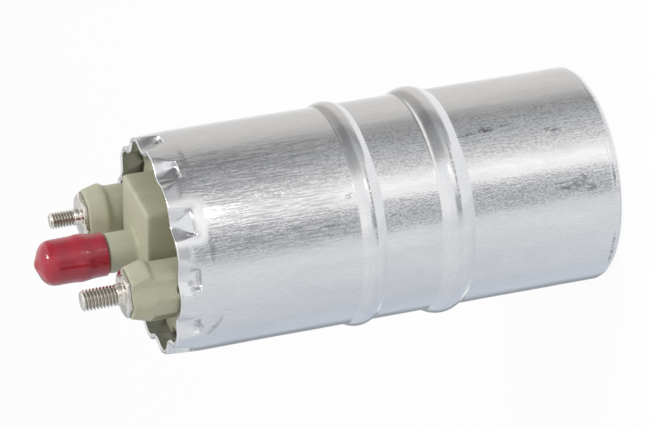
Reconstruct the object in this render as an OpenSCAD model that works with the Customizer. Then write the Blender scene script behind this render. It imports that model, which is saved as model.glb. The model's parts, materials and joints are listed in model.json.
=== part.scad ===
// Electric fuel pump, 52 mm, in-tank, with a crimped aluminium housing.
// Z runs along the pump axis from the inlet end (z = 0) to the outlet. X points to the M5 terminal.

/* [Housing] */
// Outer diameter of the housing tube
housing_d = 52; // [51.6:0.2:54]
// Height of the housing, from the inlet end to the crimped rim
housing_h = 109.2; // [108:0.2:114]
// Sheet thickness of the housing
housing_wall = 1; // [0.8:0.1:1.2]
// Radius of the rolled edge at the inlet end
inlet_edge_r = 1.9; // [1.5:0.1:2.4]
// Width of the flat lip that the rolled edge leaves round the inlet end
lip_w = 2.7; // [2:0.1:3.2]
// How far the wall draws in towards the rim
rim_draw = 0.45; // [0.2:0.05:0.6]

/* [Beads] */
// Height of the lower bead's crest above the inlet end
bead_low_z = 41.7; // [38:0.1:46]
// How far the lower bead stands out of the tube
bead_low_h = 1.4; // [1:0.1:1.8]
// Width of the lower bead along the tube
bead_low_w = 8.6; // [7:0.1:10]
// Height of the upper bead's crest above the inlet end
bead_high_z = 62.5; // [58:0.1:70]
// How far the upper bead stands out of the tube
bead_high_h = 0.95; // [0.7:0.05:1.4]
// Width of the upper bead along the tube
bead_high_w = 6.4; // [5:0.1:8]

/* [Crimp] */
// Number of dents pressed into the rim
crimp_count = 12; // [10:1:14]
// Length of a dent, from its sharp step to the rim
crimp_h = 5.6; // [5:0.1:6.2]
// Width of a dent, in degrees round the tube
crimp_w = 11.5; // [9:0.5:13]
// How deep a dent is pressed in
crimp_depth = 2.4; // [2:0.1:2.8]
// Angle of the first dent from the M5 terminal
crimp_turn = 11.7; // [9:0.1:15]

/* [End cap] */
// How far the cap's face stands above the step of the dents
cap_rise = 0.4; // [0.2:0.1:0.8]
// Thickness of the cap's base
cap_base_t = 6; // [5.6:0.1:7]
// Length of the skirt below the cap's base
cap_skirt_h = 10; // [9.4:0.1:11]
// Thickness of the skirt
cap_skirt_t = 2.1; // [1.8:0.1:2.4]
// Size of the central block along the line of the terminals
block_x = 20; // [19:0.5:21]
// Size of the central block across the line of the terminals
block_y = 29.6; // [28:0.2:31]
// Height of the central block above the cap's face
block_h = 8.5; // [7.6:0.1:10]
// Corner radius of the central block
block_corner_r = 1.3; // [0.8:0.1:2]
// Distance of a terminal's axis inside the housing's bore
terminal_inset = 7.3; // [7.1:0.05:7.6]
// Radius of a terminal boss at its neck
boss_neck_r = 6.3; // [6:0.1:6.4]
// Radius of the collar round the top of a terminal boss
boss_collar_r = 7.1; // [6.8:0.05:7.4]
// Radius of the flat on top of a terminal boss
boss_top_r = 6; // [5.9:0.05:6.4]
// Height of a terminal boss above the cap's face
boss_h = 15.8; // [14:0.2:18]
// Height of the taper from a boss's collar to its top
boss_taper_h = 3.9; // [3:0.1:4.5]
// Height of the collar's straight band
boss_band_h = 0.7; // [0.5:0.1:1.5]

/* [Outlet nipple] */
// Radius of the nipple's thick root
nipple_root_r = 4.75; // [4.5:0.05:5]
// Height of the thick root above the block
nipple_root_h = 7.1; // [5:0.1:9]
// Radius of the nipple inside the hose
nipple_r = 3.7; // [3.5:0.05:3.9]
// Height of the hose stretch above the root
nipple_hose_h = 11.6; // [11:0.1:12.6]
// How far a barb stands out
barb_h = 0.4; // [0.25:0.05:0.45]
// Length of one barb
barb_l = 2.6; // [2:0.1:3]
// Number of barbs
barb_count = 3; // [2:1:4]
// Radius of the nipple's bore
nipple_bore_r = 2.4; // [2.1:0.1:2.6]

/* [Terminals] */
// Thread diameter of the larger terminal
stud_m5_d = 5; // [4.8:0.1:5.2]
// Thread diameter of the smaller terminal
stud_m4_d = 4; // [3.8:0.1:4.2]
// Length of the larger thread above its hex
stud_m5_l = 9.6; // [7:0.1:11]
// Length of the smaller thread above its hex
stud_m4_l = 7.3; // [6:0.1:9]
// Width across the flats of the larger hex
hex_m5_w = 10; // [9:0.1:10.2]
// Width across the flats of the smaller hex
hex_m4_w = 10; // [8:0.1:10.2]
// Thickness of the hexes
hex_t = 1.1; // [0.9:0.1:1.6]
// Thickness of the contact straps under the cap
strap_t = 0.8; // [0.6:0.1:1]
// Width of the contact straps
strap_w = 6; // [5.6:0.1:6.2]

/* [Protective cap] */
// Radius of the protective cap at its mouth
vinyl_r = 5.15; // [5.1:0.05:5.4]
// Radius of the bulge that the barbs press out
vinyl_bulge_r = 5.6; // [5.5:0.05:5.9]
// Radius of the protective cap above the bulge
vinyl_top_r = 5.4; // [5.3:0.05:5.6]
// Height of the protective cap up to its shoulder
vinyl_h = 13.6; // [13:0.1:15]
// Height of the cone on the shoulder, with its nib
vinyl_nose_h = 3.1; // [2.4:0.1:4]
// Height at which the bulge is widest, above the mouth
vinyl_bulge_z = 5.6; // [5:0.1:6.4]
// Travel that the protective cap is drawn off by
vinyl_travel = 14; // [13:0.5:20]

/* [Check valve] */
// Radius of the valve chamber in the cap
valve_chamber_r = 5; // [4.8:0.1:5.3]
// Height of the valve seat
valve_seat_h = 3; // [2.6:0.1:3.4]
// Radius of the hole through the valve seat
valve_hole_r = 2.3; // [2:0.1:2.5]
// Thickness of the plunger's disc
valve_disc_t = 1.2; // [1:0.1:1.4]
// Height of the plunger's guide fins
valve_fin_h = 2.8; // [2.4:0.1:3.2]
// Lift of the plunger
valve_lift = 2; // [1.5:0.1:2.2]
// Mean radius of the check valve spring
valve_spring_r = 3.1; // [3:0.05:3.3]
// Turns of the check valve spring
valve_spring_turns = 4; // [3:1:4]
// Wire diameter of the check valve spring
valve_wire_d = 0.5; // [0.4:0.05:0.55]

/* [Pump] */
// Height of the inlet cover above the lip
inlet_cover_h = 12; // [11.6:0.1:13]
// Radius of the inlet port
inlet_port_r = 5; // [4.6:0.1:5.2]
// Distance of the inlet port from the pump axis
inlet_port_x = 10.5; // [10.3:0.1:11]
// Height of the rotors
rotor_h = 8; // [6:0.2:9]
// Lobes of the inner rotor
inner_lobes = 6; // [6:1:6]
// Distance between the axes of the two rotors
rotor_offset = 1.2; // [1.1:0.02:1.24]
// Radius on which the outer rotor's teeth are centred
tooth_centre_r = 11; // [10.8:0.05:11.3]
// Radius of the outer rotor's round teeth
tooth_r = 2.9; // [2.7:0.05:3]
// Outer radius of the outer rotor
outer_rotor_r = 14.5; // [14:0.1:14.8]
// Thickness of the outlet plate
outlet_plate_t = 6; // [5:0.2:7]
// Radius of the drive coupling
coupling_r = 5.6; // [5.4:0.05:5.7]
// Radius of the coupling's drive pins
drive_pin_r = 1; // [0.9:0.05:1.1]
// Distance of the drive pins from the pump axis
drive_pin_at = 4.4; // [4.3:0.05:4.5]
// Distance of the relief valve inside the housing's bore
relief_inset = 6.8; // [6.6:0.1:7]
// Radius of the relief valve's ball
relief_ball_r = 2.2; // [2.1:0.05:2.3]
// Radius of the relief passage that the ball closes
relief_hole_r = 1.6; // [1.4:0.05:1.7]
// Travel of the relief valve's ball
relief_lift = 1.2; // [0.8:0.1:1.4]
// Wire diameter of the relief spring
relief_wire_d = 0.5; // [0.4:0.05:0.55]
// Turns of the relief spring
relief_spring_turns = 3; // [2:1:3]
// Distance of the pump screws inside the housing's bore
screw_inset = 4.8; // [4.6:0.1:5.1]
// Thread diameter of the pump screws
screw_d = 3; // [2.6:0.1:3.2]

/* [Motor] */
// Diameter of the shaft
shaft_d = 5; // [4.8:0.1:5.2]
// Outer radius of the bearing bushes
bush_r = 4.4; // [4.2:0.1:4.6]
// Length of the bearing bushes
bush_l = 6; // [5:0.2:6.4]
// Wall of the steel flux ring
flux_ring_t = 3; // [2.6:0.1:3.2]
// Radial thickness of the magnets
magnet_t = 6.1; // [5.8:0.1:6.3]
// Width of a magnet in degrees round the motor
magnet_w = 150; // [140:1:154]
// How far the magnets reach past each end of the armature core
magnet_past = 5; // [2:0.5:6]
// Height of the armature core's foot above the outlet plate
core_foot_h = 15.1; // [14.5:0.1:19]
// Number of armature slots and commutator bars
slots = 8; // [8:1:9]
// Width of an armature tooth
tooth_w = 3.2; // [3:0.1:3.4]
// Height of the winding's end turns
end_turn_h = 4.4; // [3.6:0.1:4.8]
// Outer radius of the commutator
commutator_r = 13.2; // [12.8:0.1:13.6]
// Thickness of the commutator's bars
commutator_bar_t = 2; // [1.6:0.1:2.2]

/* [Brushes] */
// Distance of a brush's middle from the pump axis
brush_at = 9.2; // [9.1:0.05:9.4]
// Size of a brush along the radius
brush_x = 5; // [4.8:0.1:5.1]
// Size of a brush across the radius
brush_y = 6.4; // [6:0.1:6.8]
// Length of a new brush
brush_l = 9.5; // [9:0.1:10]
// Height that a brush can be lifted off the commutator
brush_lift = 1.5; // [1:0.1:2]
// Height of the brush wells
well_h = 12.8; // [12.2:0.1:13.2]
// Turns of a brush spring
brush_spring_turns = 5; // [4:1:5]
// Wire diameter of a brush spring
brush_wire_d = 0.4; // [0.35:0.05:0.45]

/* [Clearances] */
// Radial gap of a piece fitted in the housing
housing_fit = 0.06; // [0.03:0.01:0.1]
// Radial gap of a piece pressed on or into another
press_gap = 0.01; // [0.005:0.005:0.02]
// Radial running gap of the shaft and of the outer rotor
running_gap = 0.03; // [0.02:0.01:0.06]
// Gap between the teeth of the two rotors
mesh_gap = 0.07; // [0.05:0.01:0.1]
// Gap at each end face of the rotors
end_gap = 0.05; // [0.03:0.01:0.08]
// Gap between the magnets and the armature core
air_gap = 0.72; // [0.5:0.02:0.9]
// Radial gap of the protective cap over the barbs
vinyl_gap = 0.1; // [0.06:0.01:0.14]
// Gap round the brushes in their wells
brush_gap = 0.1; // [0.06:0.01:0.14]
// Loose gap between pieces that don't touch
loose_gap = 0.3; // [0.2:0.05:0.4]

/* [Hidden] */
$fn = 96;

over = 1;                  // how far a cut runs past the face it opens
housing_r = housing_d / 2;
bore_r = housing_r - housing_wall;
fit_r = bore_r - housing_fit;
lip_opening_r = housing_r - inlet_edge_r - lip_w;
crimp_z = housing_h - crimp_h;
dent_face_r = housing_r - crimp_depth;
dent_back_r = dent_face_r - housing_wall;
dent_side = 360 * housing_wall / (2 * PI * dent_face_r);
shaft_r = shaft_d / 2;

// Levels of the pump, counted up from the lip
cover_z = housing_wall;
cover_face_z = 0.3;        // face of the cover inside the lip opening
ring_z = cover_z + inlet_cover_h;
ring_h = rotor_h + 2 * end_gap;
plate_z = ring_z + ring_h;
motor_z = plate_z + outlet_plate_t;

// Levels of the end cap and motor, counted from the dents
shoulder_z = crimp_z - housing_wall;
cap_face_z = crimp_z + cap_rise;
cap_under_z = cap_face_z - cap_base_t;
skirt_z = cap_under_z - cap_skirt_h;
plenum_h = 2;
holder_top_z = cap_under_z - plenum_h;
holder_t = 3;
well_z = holder_top_z - well_h;
commutator_gap = 1.2;
brush_z = well_z - commutator_gap;
commutator_base_t = 2;
commutator_z = brush_z - commutator_bar_t - commutator_base_t;
insulator_t = 0.8;
core_top_z = commutator_z - end_turn_h - insulator_t - 0.6;
core_z = motor_z + core_foot_h;
core_h = core_top_z - core_z;

skirt_bore_r = fit_r - cap_skirt_t;
ledge_r = skirt_bore_r - 1.8;
flux_out_r = bore_r - 2 * housing_fit;
flux_in_r = flux_out_r - flux_ring_t;
magnet_out_r = flux_in_r - housing_fit;
magnet_in_r = magnet_out_r - magnet_t;
core_r = magnet_in_r - air_gap;
terminal_at = bore_r - terminal_inset;
relief_at = bore_r - relief_inset;
screw_at = bore_r - screw_inset;

block_top_z = cap_face_z + block_h;
boss_top_z = cap_face_z + boss_h;
nipple_shoulder_z = block_top_z + nipple_root_h;
nipple_top_z = nipple_shoulder_z + nipple_hose_h;
valve_top_z = block_top_z - 2.5;
vinyl_z = nipple_shoulder_z + loose_gap;
vinyl_bore_r = nipple_r + barb_h + vinyl_gap;
vinyl_bore_h = nipple_hose_h + loose_gap;

groove_w = 2.2;
groove_depth = 1.6;
seal_d = 1.55;
port_in_r = 7.4;
port_out_r = tooth_centre_r - 0.4;
port_w = 120;
port_depth = 3.6;
screen_t = 0.4;
screen_ledge = 0.4;         // step that the screen lies against
screen_r = inlet_port_r + 0.3;
screen_z = ring_z - port_depth - 2 * screen_t;
cover_edge = inlet_edge_r - housing_wall + loose_gap;
bush_floor = 1;
bush_bore_r = shaft_r + running_gap;
shaft_lower_z = ring_z - bush_l - 1.4;
bush_upper_z = holder_top_z - bush_l - 4.8;
shaft_upper_z = holder_top_z - 0.5;
sleeve_r = 3.9;
washer_t = 0.5;

relief_bore_r = relief_ball_r + 0.4;
relief_seat_z = ring_z - 2;
relief_ball_z = relief_seat_z - sqrt(pow(relief_ball_r, 2) - pow(relief_hole_r, 2)) - end_gap;
relief_spring_r = 1.6;
retainer_t = 2;
relief_spring_top_z = relief_ball_z - relief_ball_r + 0.3;

plunger_z = cap_under_z + valve_seat_h;
fin_top_z = plunger_z + valve_disc_t + valve_fin_h;
fin_t = 1;
stem_r = 1.2;
seat_bore_r = valve_chamber_r - press_gap;

strap_z = cap_under_z - strap_t;
brush_top_z = brush_z + brush_l;
brush_spring_r = 1.85;
lead_r = 0.45;
lead_slack = 0.6;
screw_turn = 45;
rotor_step = 1.5;            // degrees between points on the inner rotor's outline
spring_rings = 8;          // rings in each turn of a spring
tube_sides = 6;

// A ring or part ring of rectangular section
module ring(r_in, r_out, z0, z1, turn = 0, sweep = 360) {
    rotate([0, 0, turn]) rotate_extrude(angle = sweep)
        translate([r_in, z0]) square([r_out - r_in, z1 - z0]);
}

// A round bar on the Z direction at a given place
module bar(r, z0, z1, at = [0, 0]) {
    translate([at[0], at[1], z0]) cylinder(r = r, h = z1 - z0);
}

// A box centred on a place in plan, between two heights
module post(x, y, z0, z1, at = [0, 0]) {
    translate([at[0] - x / 2, at[1] - y / 2, z0]) cube([x, y, z1 - z0]);
}

// Heights and outward rise of a round bead, from flank to flank
bead_steps = 14;
function bead(z, h, w, off) = [for (i = [0 : bead_steps])
    let (t = i / bead_steps - 0.5) [housing_r - off + h * (1 + cos(360 * t)) / 2, z + w * t]];

// One face of the housing's sheet, off millimetres inside its outer face
function sheet_line(off) = concat(
    [[lip_opening_r, off]],
    [for (a = [-90 : 15 : 0]) [housing_r - inlet_edge_r + (inlet_edge_r - off) * cos(a),
        inlet_edge_r + (inlet_edge_r - off) * sin(a)]],
    bead(bead_low_z, bead_low_h, bead_low_w, off),
    bead(bead_high_z, bead_high_h, bead_high_w, off),
    [[housing_r - off, shoulder_z - over], [housing_r - rim_draw - off, housing_h]]);

function backwards(list) = [for (i = [len(list) - 1 : -1 : 0]) list[i]];

// Everything that repeats at the dents of the rim
module at_dents() {
    for (i = [0 : crimp_count - 1]) rotate([0, 0, crimp_turn + 360 * i / crimp_count]) children();
}

module housing() {
    color("gainsboro") difference() {
        union() {
            rotate_extrude() polygon(concat(sheet_line(0), backwards(sheet_line(housing_wall))));
            at_dents() ring(dent_back_r, housing_r - rim_draw - housing_wall / 2, shoulder_z,
                housing_h, -crimp_w / 2 - dent_side, crimp_w + 2 * dent_side);
        }
        at_dents() ring(dent_face_r, housing_r + over, crimp_z, housing_h + over,
            -crimp_w / 2, crimp_w);
    }
}

// A flat wedge round the X axis, to cut a sector out of rings
module wedge(r, sweep) {
    polygon([[0, 0], r * [1, -tan(sweep / 2)], r * [1, tan(sweep / 2)]]);
}

// A groove for a round sealing ring, cut from the outside of a fitted disc
module seal_groove(z) {
    ring(fit_r - groove_depth, fit_r + over, z - groove_w / 2, z + groove_w / 2);
}

module seal(z) {
    rotate_extrude() translate([fit_r - seal_d / 2, z]) circle(d = seal_d, $fn = 24);
}

inlet_seal_z = cover_z + inlet_cover_h / 2;
cap_seal_z = (cap_under_z + shoulder_z) / 2;

module at_screws() {
    for (i = [0 : 3]) rotate([0, 0, screw_turn + 90 * i]) translate([screw_at, 0, 0]) children();
}

module inlet_cover() {
    port = [-inlet_port_x, 0];
    relief = [0, -relief_at];
    color("silver") difference() {
        union() {
            rotate_extrude() polygon([[0, cover_z], [fit_r - cover_edge, cover_z],
                [fit_r, cover_z + cover_edge], [fit_r, ring_z], [0, ring_z]]);
            bar(lip_opening_r - loose_gap, cover_face_z, cover_z + over);
        }
        bar(inlet_port_r, cover_face_z - over, screen_z, port);
        bar(screen_r + press_gap, screen_z - loose_gap, screen_z + screen_t, port);
        bar(inlet_port_r - screen_ledge, screen_z, ring_z - port_depth + over, port);
        ring(port_in_r, port_out_r, ring_z - port_depth, ring_z + over, 180 - port_w / 2, port_w);
        bar(bush_r + press_gap, shaft_lower_z - bush_floor, ring_z + over);
        bar(relief_bore_r, cover_face_z - over, relief_seat_z, relief);
        bar(relief_hole_r, relief_seat_z - over, ring_z + over, relief);
        at_screws() bar(screw_d / 2 + press_gap, ring_z - screw_grip - end_room, ring_z + over);
        seal_groove(inlet_seal_z);
    }
}

module inlet_seal() {
    color("dimgray") seal(inlet_seal_z);
}

module inlet_screen() {
    rows = 4;
    pitch = 1.05;
    hole = 0.75;
    rim = 0.7;
    color("lightgray") translate([-inlet_port_x, 0, screen_z]) linear_extrude(screen_t)
        difference() {
            circle(r = screen_r);
            for (i = [-rows : rows], j = [-rows : rows])
                if (norm([abs(i) + 0.5, abs(j) + 0.5]) * pitch < inlet_port_r - rim)
                    translate([i * pitch, j * pitch]) square(hole, center = true);
        }
}

module pump_ring() {
    color("silver") difference() {
        bar(fit_r, ring_z, plate_z);
        bar(outer_rotor_r + running_gap, ring_z - over, plate_z + over, [0, rotor_offset]);
        bar(relief_hole_r, ring_z - over, plate_z + over, [0, -relief_at]);
        at_screws() bar(screw_d / 2 + loose_gap / 2, ring_z - over, plate_z + over);
    }
}

outer_teeth = inner_lobes + 1;

// Path of an outer tooth's centre seen from the inner rotor, and the lobe outline inside it
function tooth_path(t) = tooth_centre_r * [cos(t), sin(t)]
    - rotor_offset * [cos(outer_teeth * t), sin(outer_teeth * t)];
function path_inward(t) = let (v = rotor_offset * outer_teeth
    * [cos(outer_teeth * t), sin(outer_teeth * t)] - tooth_centre_r * [cos(t), sin(t)]) v / norm(v);
function lobe_point(t) = tooth_path(t) + (tooth_r + mesh_gap) * path_inward(t);

module inner_rotor() {
    turn = 180 / inner_lobes;   // a lobe stands in the lowest space of the outer rotor
    color("darkgray") translate([0, 0, ring_z + end_gap]) linear_extrude(rotor_h) difference() {
        rotate(turn - 90) polygon([for (t = [0 : rotor_step : 360 - rotor_step]) lobe_point(t)]);
        circle(r = shaft_r + press_gap);
        for (s = [-1, 1]) translate([s * drive_pin_at, 0]) circle(r = drive_pin_r + brush_gap);
    }
}

module outer_rotor() {
    root_r = tooth_centre_r + 2 * rotor_offset - tooth_r + loose_gap;
    color("gray") translate([0, rotor_offset, ring_z + end_gap]) linear_extrude(rotor_h)
        difference() {
            circle(r = outer_rotor_r);
            rotate(-90 + 180 / outer_teeth) difference() {
                circle(r = root_r);
                for (i = [0 : outer_teeth - 1]) rotate(360 * i / outer_teeth)
                    translate([tooth_centre_r, 0]) circle(r = tooth_r);
            }
        }
}

screw_head_r = 2.6;
screw_head_h = 2.6;
end_room = 0.5;             // room past a screw's tip
screw_grip = 6.5;           // how far a screw reaches into the inlet cover

module outlet_plate() {
    color("silver") difference() {
        bar(fit_r, plate_z, motor_z);
        bar(coupling_r + loose_gap, plate_z - over, motor_z + over);
        ring(port_in_r, port_out_r, plate_z - over, motor_z + over, -port_w / 2, port_w);
        bar(relief_hole_r, plate_z - over, motor_z + over, [0, -relief_at]);
        at_screws() {
            bar(screw_d / 2 + loose_gap / 2, plate_z - over, motor_z + over);
            bar(screw_head_r + loose_gap / 2, motor_z - screw_head_h - end_gap, motor_z + over);
        }
    }
}

module pump_screws() {
    socket_r = 1.3;
    head_z = motor_z - screw_head_h - end_gap;
    color("slategray") at_screws() difference() {
        union() {
            bar(screw_d / 2, ring_z - screw_grip, head_z + over);
            bar(screw_head_r, head_z, motor_z - end_gap);
        }
        translate([0, 0, head_z + 1]) cylinder(r = socket_r, h = screw_head_h, $fn = 6);
    }
}

module relief_ball() {
    color("silver") translate([0, -relief_at, relief_ball_z]) sphere(r = relief_ball_r);
}

module relief_retainer() {
    color("goldenrod") difference() {
        bar(relief_bore_r - press_gap, cover_z, cover_z + retainer_t, [0, -relief_at]);
        bar(relief_spring_r - relief_wire_d, cover_z - over, cover_z + retainer_t + over,
            [0, -relief_at]);
    }
}

// Centre line of a wound spring: a straight end, the turns, and a straight end
function spring_line(r, z0, z1, turns, wire) = let (n = turns * spring_rings) concat(
    [[r, 0, z0]],
    [for (i = [0 : n]) [r * cos(360 * i / spring_rings), r * sin(360 * i / spring_rings),
        z0 + wire + (z1 - z0 - 2 * wire) * i / n]],
    [[r, 0, z1]]);
function spring_sides(turns) = let (n = turns * spring_rings) concat([[1, 0, 0]],
    [for (i = [0 : n]) [cos(360 * i / spring_rings), sin(360 * i / spring_rings), 0]],
    [[1, 0, 0]]);

// Least gap between turns, from points at least half a turn apart
function least_gap(p, wire) = min([for (i = [0 : len(p) - 1],
    j = [i + spring_rings / 2 : 1 : len(p) - 1]) norm(p[i] - p[j])]) - wire;

function along(p, i) = let (d = p[min(i + 1, len(p) - 1)] - p[max(i - 1, 0)]) d / norm(d);

// A round wire through points, with one sideways direction given at each point
module wire_tube(p, side, wire) {
    n = len(p);
    s = tube_sides;
    rings = [for (i = [0 : n - 1], j = [0 : s - 1])
        let (b = cross(along(p, i), side[i]), a = 360 * j / s)
        p[i] + wire / 2 * (cos(a) * side[i] + sin(a) * b / norm(b))];
    walls = [for (i = [0 : n - 2], j = [0 : s - 1], k = [0, 1])
        let (a = i * s + j, b = i * s + (j + 1) % s)
        k == 0 ? [a, a + s, b] : [b, a + s, b + s]];
    first = [for (j = [1 : s - 2]) [0, j, j + 1]];
    last = [for (j = [1 : s - 2]) [(n - 1) * s, (n - 1) * s + j + 1, (n - 1) * s + j]];
    polyhedron(points = rings, faces = concat(first, walls, last));
}

module spring(name, r, z0, z1, turns, wire) {
    line = spring_line(r, z0, z1, turns, wire);
    echo(str("least gap of the ", name, " spring: ", least_gap(line, wire)));
    wire_tube(line, spring_sides(turns), wire);
}

module relief_spring() {
    color("lightsteelblue") translate([0, -relief_at, 0]) spring("relief", relief_spring_r,
        cover_z + retainer_t, relief_spring_top_z, relief_spring_turns, relief_wire_d);
}

// A plain bearing bush
module bush(z) {
    ring(bush_bore_r, bush_r, z, z + bush_l);
}

module lower_bearing() {
    color("peru") bush(ring_z - bush_l - 0.5);
}

module upper_bearing() {
    color("peru") bush(bush_upper_z);
}

module drive_coupling() {
    hub_z = plate_z + 1;
    hub_h = outlet_plate_t + 5;
    color("ivory") {
        ring(shaft_r + press_gap, coupling_r, hub_z, hub_z + hub_h);
        for (s = [-1, 1]) bar(drive_pin_r, ring_z + rotor_h / 2, hub_z + over, [s * drive_pin_at, 0]);
    }
}

module flux_ring() {
    color("slategray") ring(flux_in_r, flux_out_r, motor_z, skirt_z);
}

module magnet(turn) {
    ring(magnet_in_r, magnet_out_r, core_z - magnet_past, core_top_z + magnet_past,
        turn - magnet_w / 2, magnet_w);
}

module magnet_north() {
    color("dimgray") magnet(90);
}

module magnet_south() {
    color("darkslategray") magnet(270);
}

// The bent steel clips that spread the two magnets apart
module magnet_clips() {
    clip_t = 0.8;
    leg_sweep = 2.4;
    play = 0.2;
    open = 180 - magnet_w - 2 * play;
    z0 = core_z - magnet_past;
    color("lightsteelblue") for (turn = [0, 180]) rotate([0, 0, turn]) translate([0, 0, z0])
        linear_extrude(core_top_z + magnet_past - z0) difference() {
            intersection() {
                circle(magnet_out_r);
                wedge(housing_r, open);
            }
            circle(magnet_in_r + clip_t);
            intersection() {
                circle(magnet_out_r - clip_t);
                wedge(housing_r, open - 2 * leg_sweep);
            }
        }
}

module armature_shaft() {
    chamfer = 0.5;
    color("silver") rotate_extrude() polygon([[0, shaft_lower_z], [shaft_r - chamfer, shaft_lower_z],
        [shaft_r, shaft_lower_z + chamfer], [shaft_r, shaft_upper_z - chamfer],
        [shaft_r - chamfer, shaft_upper_z], [0, shaft_upper_z]]);
}

slot_in_r = 6.4;
slot_out_r = core_r - 2.6;
slot_mouth_w = 2;
winding_gap = 0.25;

// Outline of one winding slot, drawn in by a gap
module slot_outline(gap) {
    in_w = slot_in_r * tan(180 / slots) - tooth_w / 2 - gap;
    out_w = slot_out_r * tan(180 / slots) - tooth_w / 2 - gap;
    polygon([[slot_in_r + gap, -in_w], [slot_out_r - gap, -out_w], [slot_out_r - gap, out_w],
        [slot_in_r + gap, in_w]]);
}

module at_slots() {
    for (i = [0 : slots - 1]) rotate(360 * i / slots) children();
}

module armature_core() {
    color("slategray") translate([0, 0, core_z]) linear_extrude(core_h) difference() {
        circle(r = core_r);
        circle(r = shaft_r + press_gap);
        at_slots() {
            slot_outline(0);
            translate([slot_out_r - over, -slot_mouth_w / 2])
                square([core_r - slot_out_r + 2 * over, slot_mouth_w]);
        }
    }
}

// A paper-thin spider that keeps the winding off the core's end
module slot_insulator(z) {
    color("darkseagreen") translate([0, 0, z]) linear_extrude(insulator_t) difference() {
        circle(r = slot_out_r + 0.8);
        circle(r = shaft_r + press_gap);
        at_slots() slot_outline(0);
    }
}

module slot_insulator_lower() {
    slot_insulator(core_z - insulator_t);
}

module slot_insulator_upper() {
    slot_insulator(core_top_z);
}

module end_turns(z) {
    mid_r = (slot_in_r + slot_out_r) / 2;
    half = (slot_out_r - slot_in_r) / 2 - 0.4;
    round_r = end_turn_h / 2;
    rotate_extrude() translate([mid_r, z + round_r]) {
        square([2 * (half - round_r), end_turn_h], center = true);
        for (s = [-1, 1]) translate([s * (half - round_r), 0]) circle(r = round_r, $fn = 32);
    }
}

module armature_windings() {
    color("chocolate") {
        end_turns(core_z - insulator_t - end_turn_h);
        end_turns(core_top_z + insulator_t);
        translate([0, 0, core_z - insulator_t - end_turn_h / 2])
            linear_extrude(core_h + 2 * insulator_t + end_turn_h) at_slots()
            slot_outline(winding_gap);
    }
}

bar_in_r = sleeve_r + 1;

module commutator_hub() {
    color("saddlebrown") {
        ring(shaft_r + press_gap, commutator_r, commutator_z, brush_z - commutator_bar_t);
        ring(shaft_r + press_gap, sleeve_r, commutator_z, bush_upper_z - washer_t - loose_gap);
    }
}

module commutator_bars() {
    slit = 0.8;
    color("darkorange") difference() {
        ring(bar_in_r, commutator_r, brush_z - commutator_bar_t, brush_z);
        at_slots() translate([0, -slit / 2, brush_z - commutator_bar_t - over])
            cube([commutator_r + over, slit, commutator_bar_t + 2 * over]);
    }
}

module thrust_washer() {
    z = bush_upper_z - washer_t - loose_gap;
    color("tan") ring(shaft_r + press_gap, sleeve_r, z, z + washer_t);
}

well_x = brush_x + 2 * brush_gap;
well_y = brush_y + 2 * brush_gap;

module brush_holder() {
    hub_r = brush_at - well_x / 2;
    hub_z = bush_upper_z - 0.5;
    well_wall = 1;
    way_r = 3;
    way_at = 14;
    color("darkkhaki") difference() {
        union() {
            bar(skirt_bore_r - press_gap, holder_top_z - holder_t, holder_top_z);
            ring(skirt_bore_r - 1.6, skirt_bore_r - press_gap, skirt_z, holder_top_z);
            bar(hub_r, hub_z, holder_top_z);
            for (s = [-1, 1]) post(well_x + 2 * well_wall, well_y + 2 * well_wall, well_z,
                holder_top_z, [s * brush_at, 0]);
        }
        bar(bush_r + press_gap, well_z - over, bush_upper_z + bush_l);
        bar(shaft_r + loose_gap, well_z - over, holder_top_z + over);
        for (s = [-1, 1]) post(well_x, well_y, well_z - over, holder_top_z + over,
            [s * brush_at, 0]);
        for (a = [50, 90, 130, 230, 270, 310])
            bar(way_r, holder_top_z - holder_t - over, holder_top_z + over,
                way_at * [cos(a), sin(a)]);
    }
}

module brush(s) {
    post(brush_x, brush_y, brush_z, brush_top_z, [s * brush_at, 0]);
}

module brush_positive() {
    color("#333333") brush(1);
}

module brush_negative() {
    color("#3a3a3a") brush(-1);
}

module brush_spring(s) {
    translate([s * brush_at, 0, 0]) spring("brush", brush_spring_r, brush_top_z, strap_z,
        brush_spring_turns, brush_wire_d);
}

module brush_spring_positive() {
    color("lightsteelblue") brush_spring(1);
}

module brush_spring_negative() {
    color("lightsteelblue") brush_spring(-1);
}

// The braided lead runs up inside the spring with a little slack
module brush_lead(s) {
    steps = 20;
    rise = strap_z - brush_top_z;
    line = [for (i = [0 : steps]) let (t = i / steps)
        [s * brush_at, lead_slack * (1 - cos(360 * t)) / 2 - lead_slack / 2, brush_top_z + rise * t]];
    wire_tube(line, [for (i = [0 : steps]) [1, 0, 0]], 2 * lead_r);
}

module brush_lead_positive() {
    color("peru") brush_lead(1);
}

module brush_lead_negative() {
    color("peru") brush_lead(-1);
}

rivet_h = 0.6;

// A flat strap from the foot of a terminal stud to the middle of a brush spring
module contact_strap(s, stud_d) {
    at = terminal_at;
    tail = brush_at - 2.4;
    color("gold") difference() {
        union() {
            translate([s > 0 ? tail : -at, -strap_w / 2, strap_z]) cube([at - tail, strap_w, strap_t]);
            bar(strap_w / 2, strap_z, cap_under_z, [s * at, 0]);
        }
        bar(stud_d / 2 + press_gap, strap_z - over, cap_under_z + over, [s * at, 0]);
    }
}

module contact_strap_positive() {
    contact_strap(1, stud_m5_d);
}

module contact_strap_negative() {
    contact_strap(-1, stud_m4_d);
}

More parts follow.
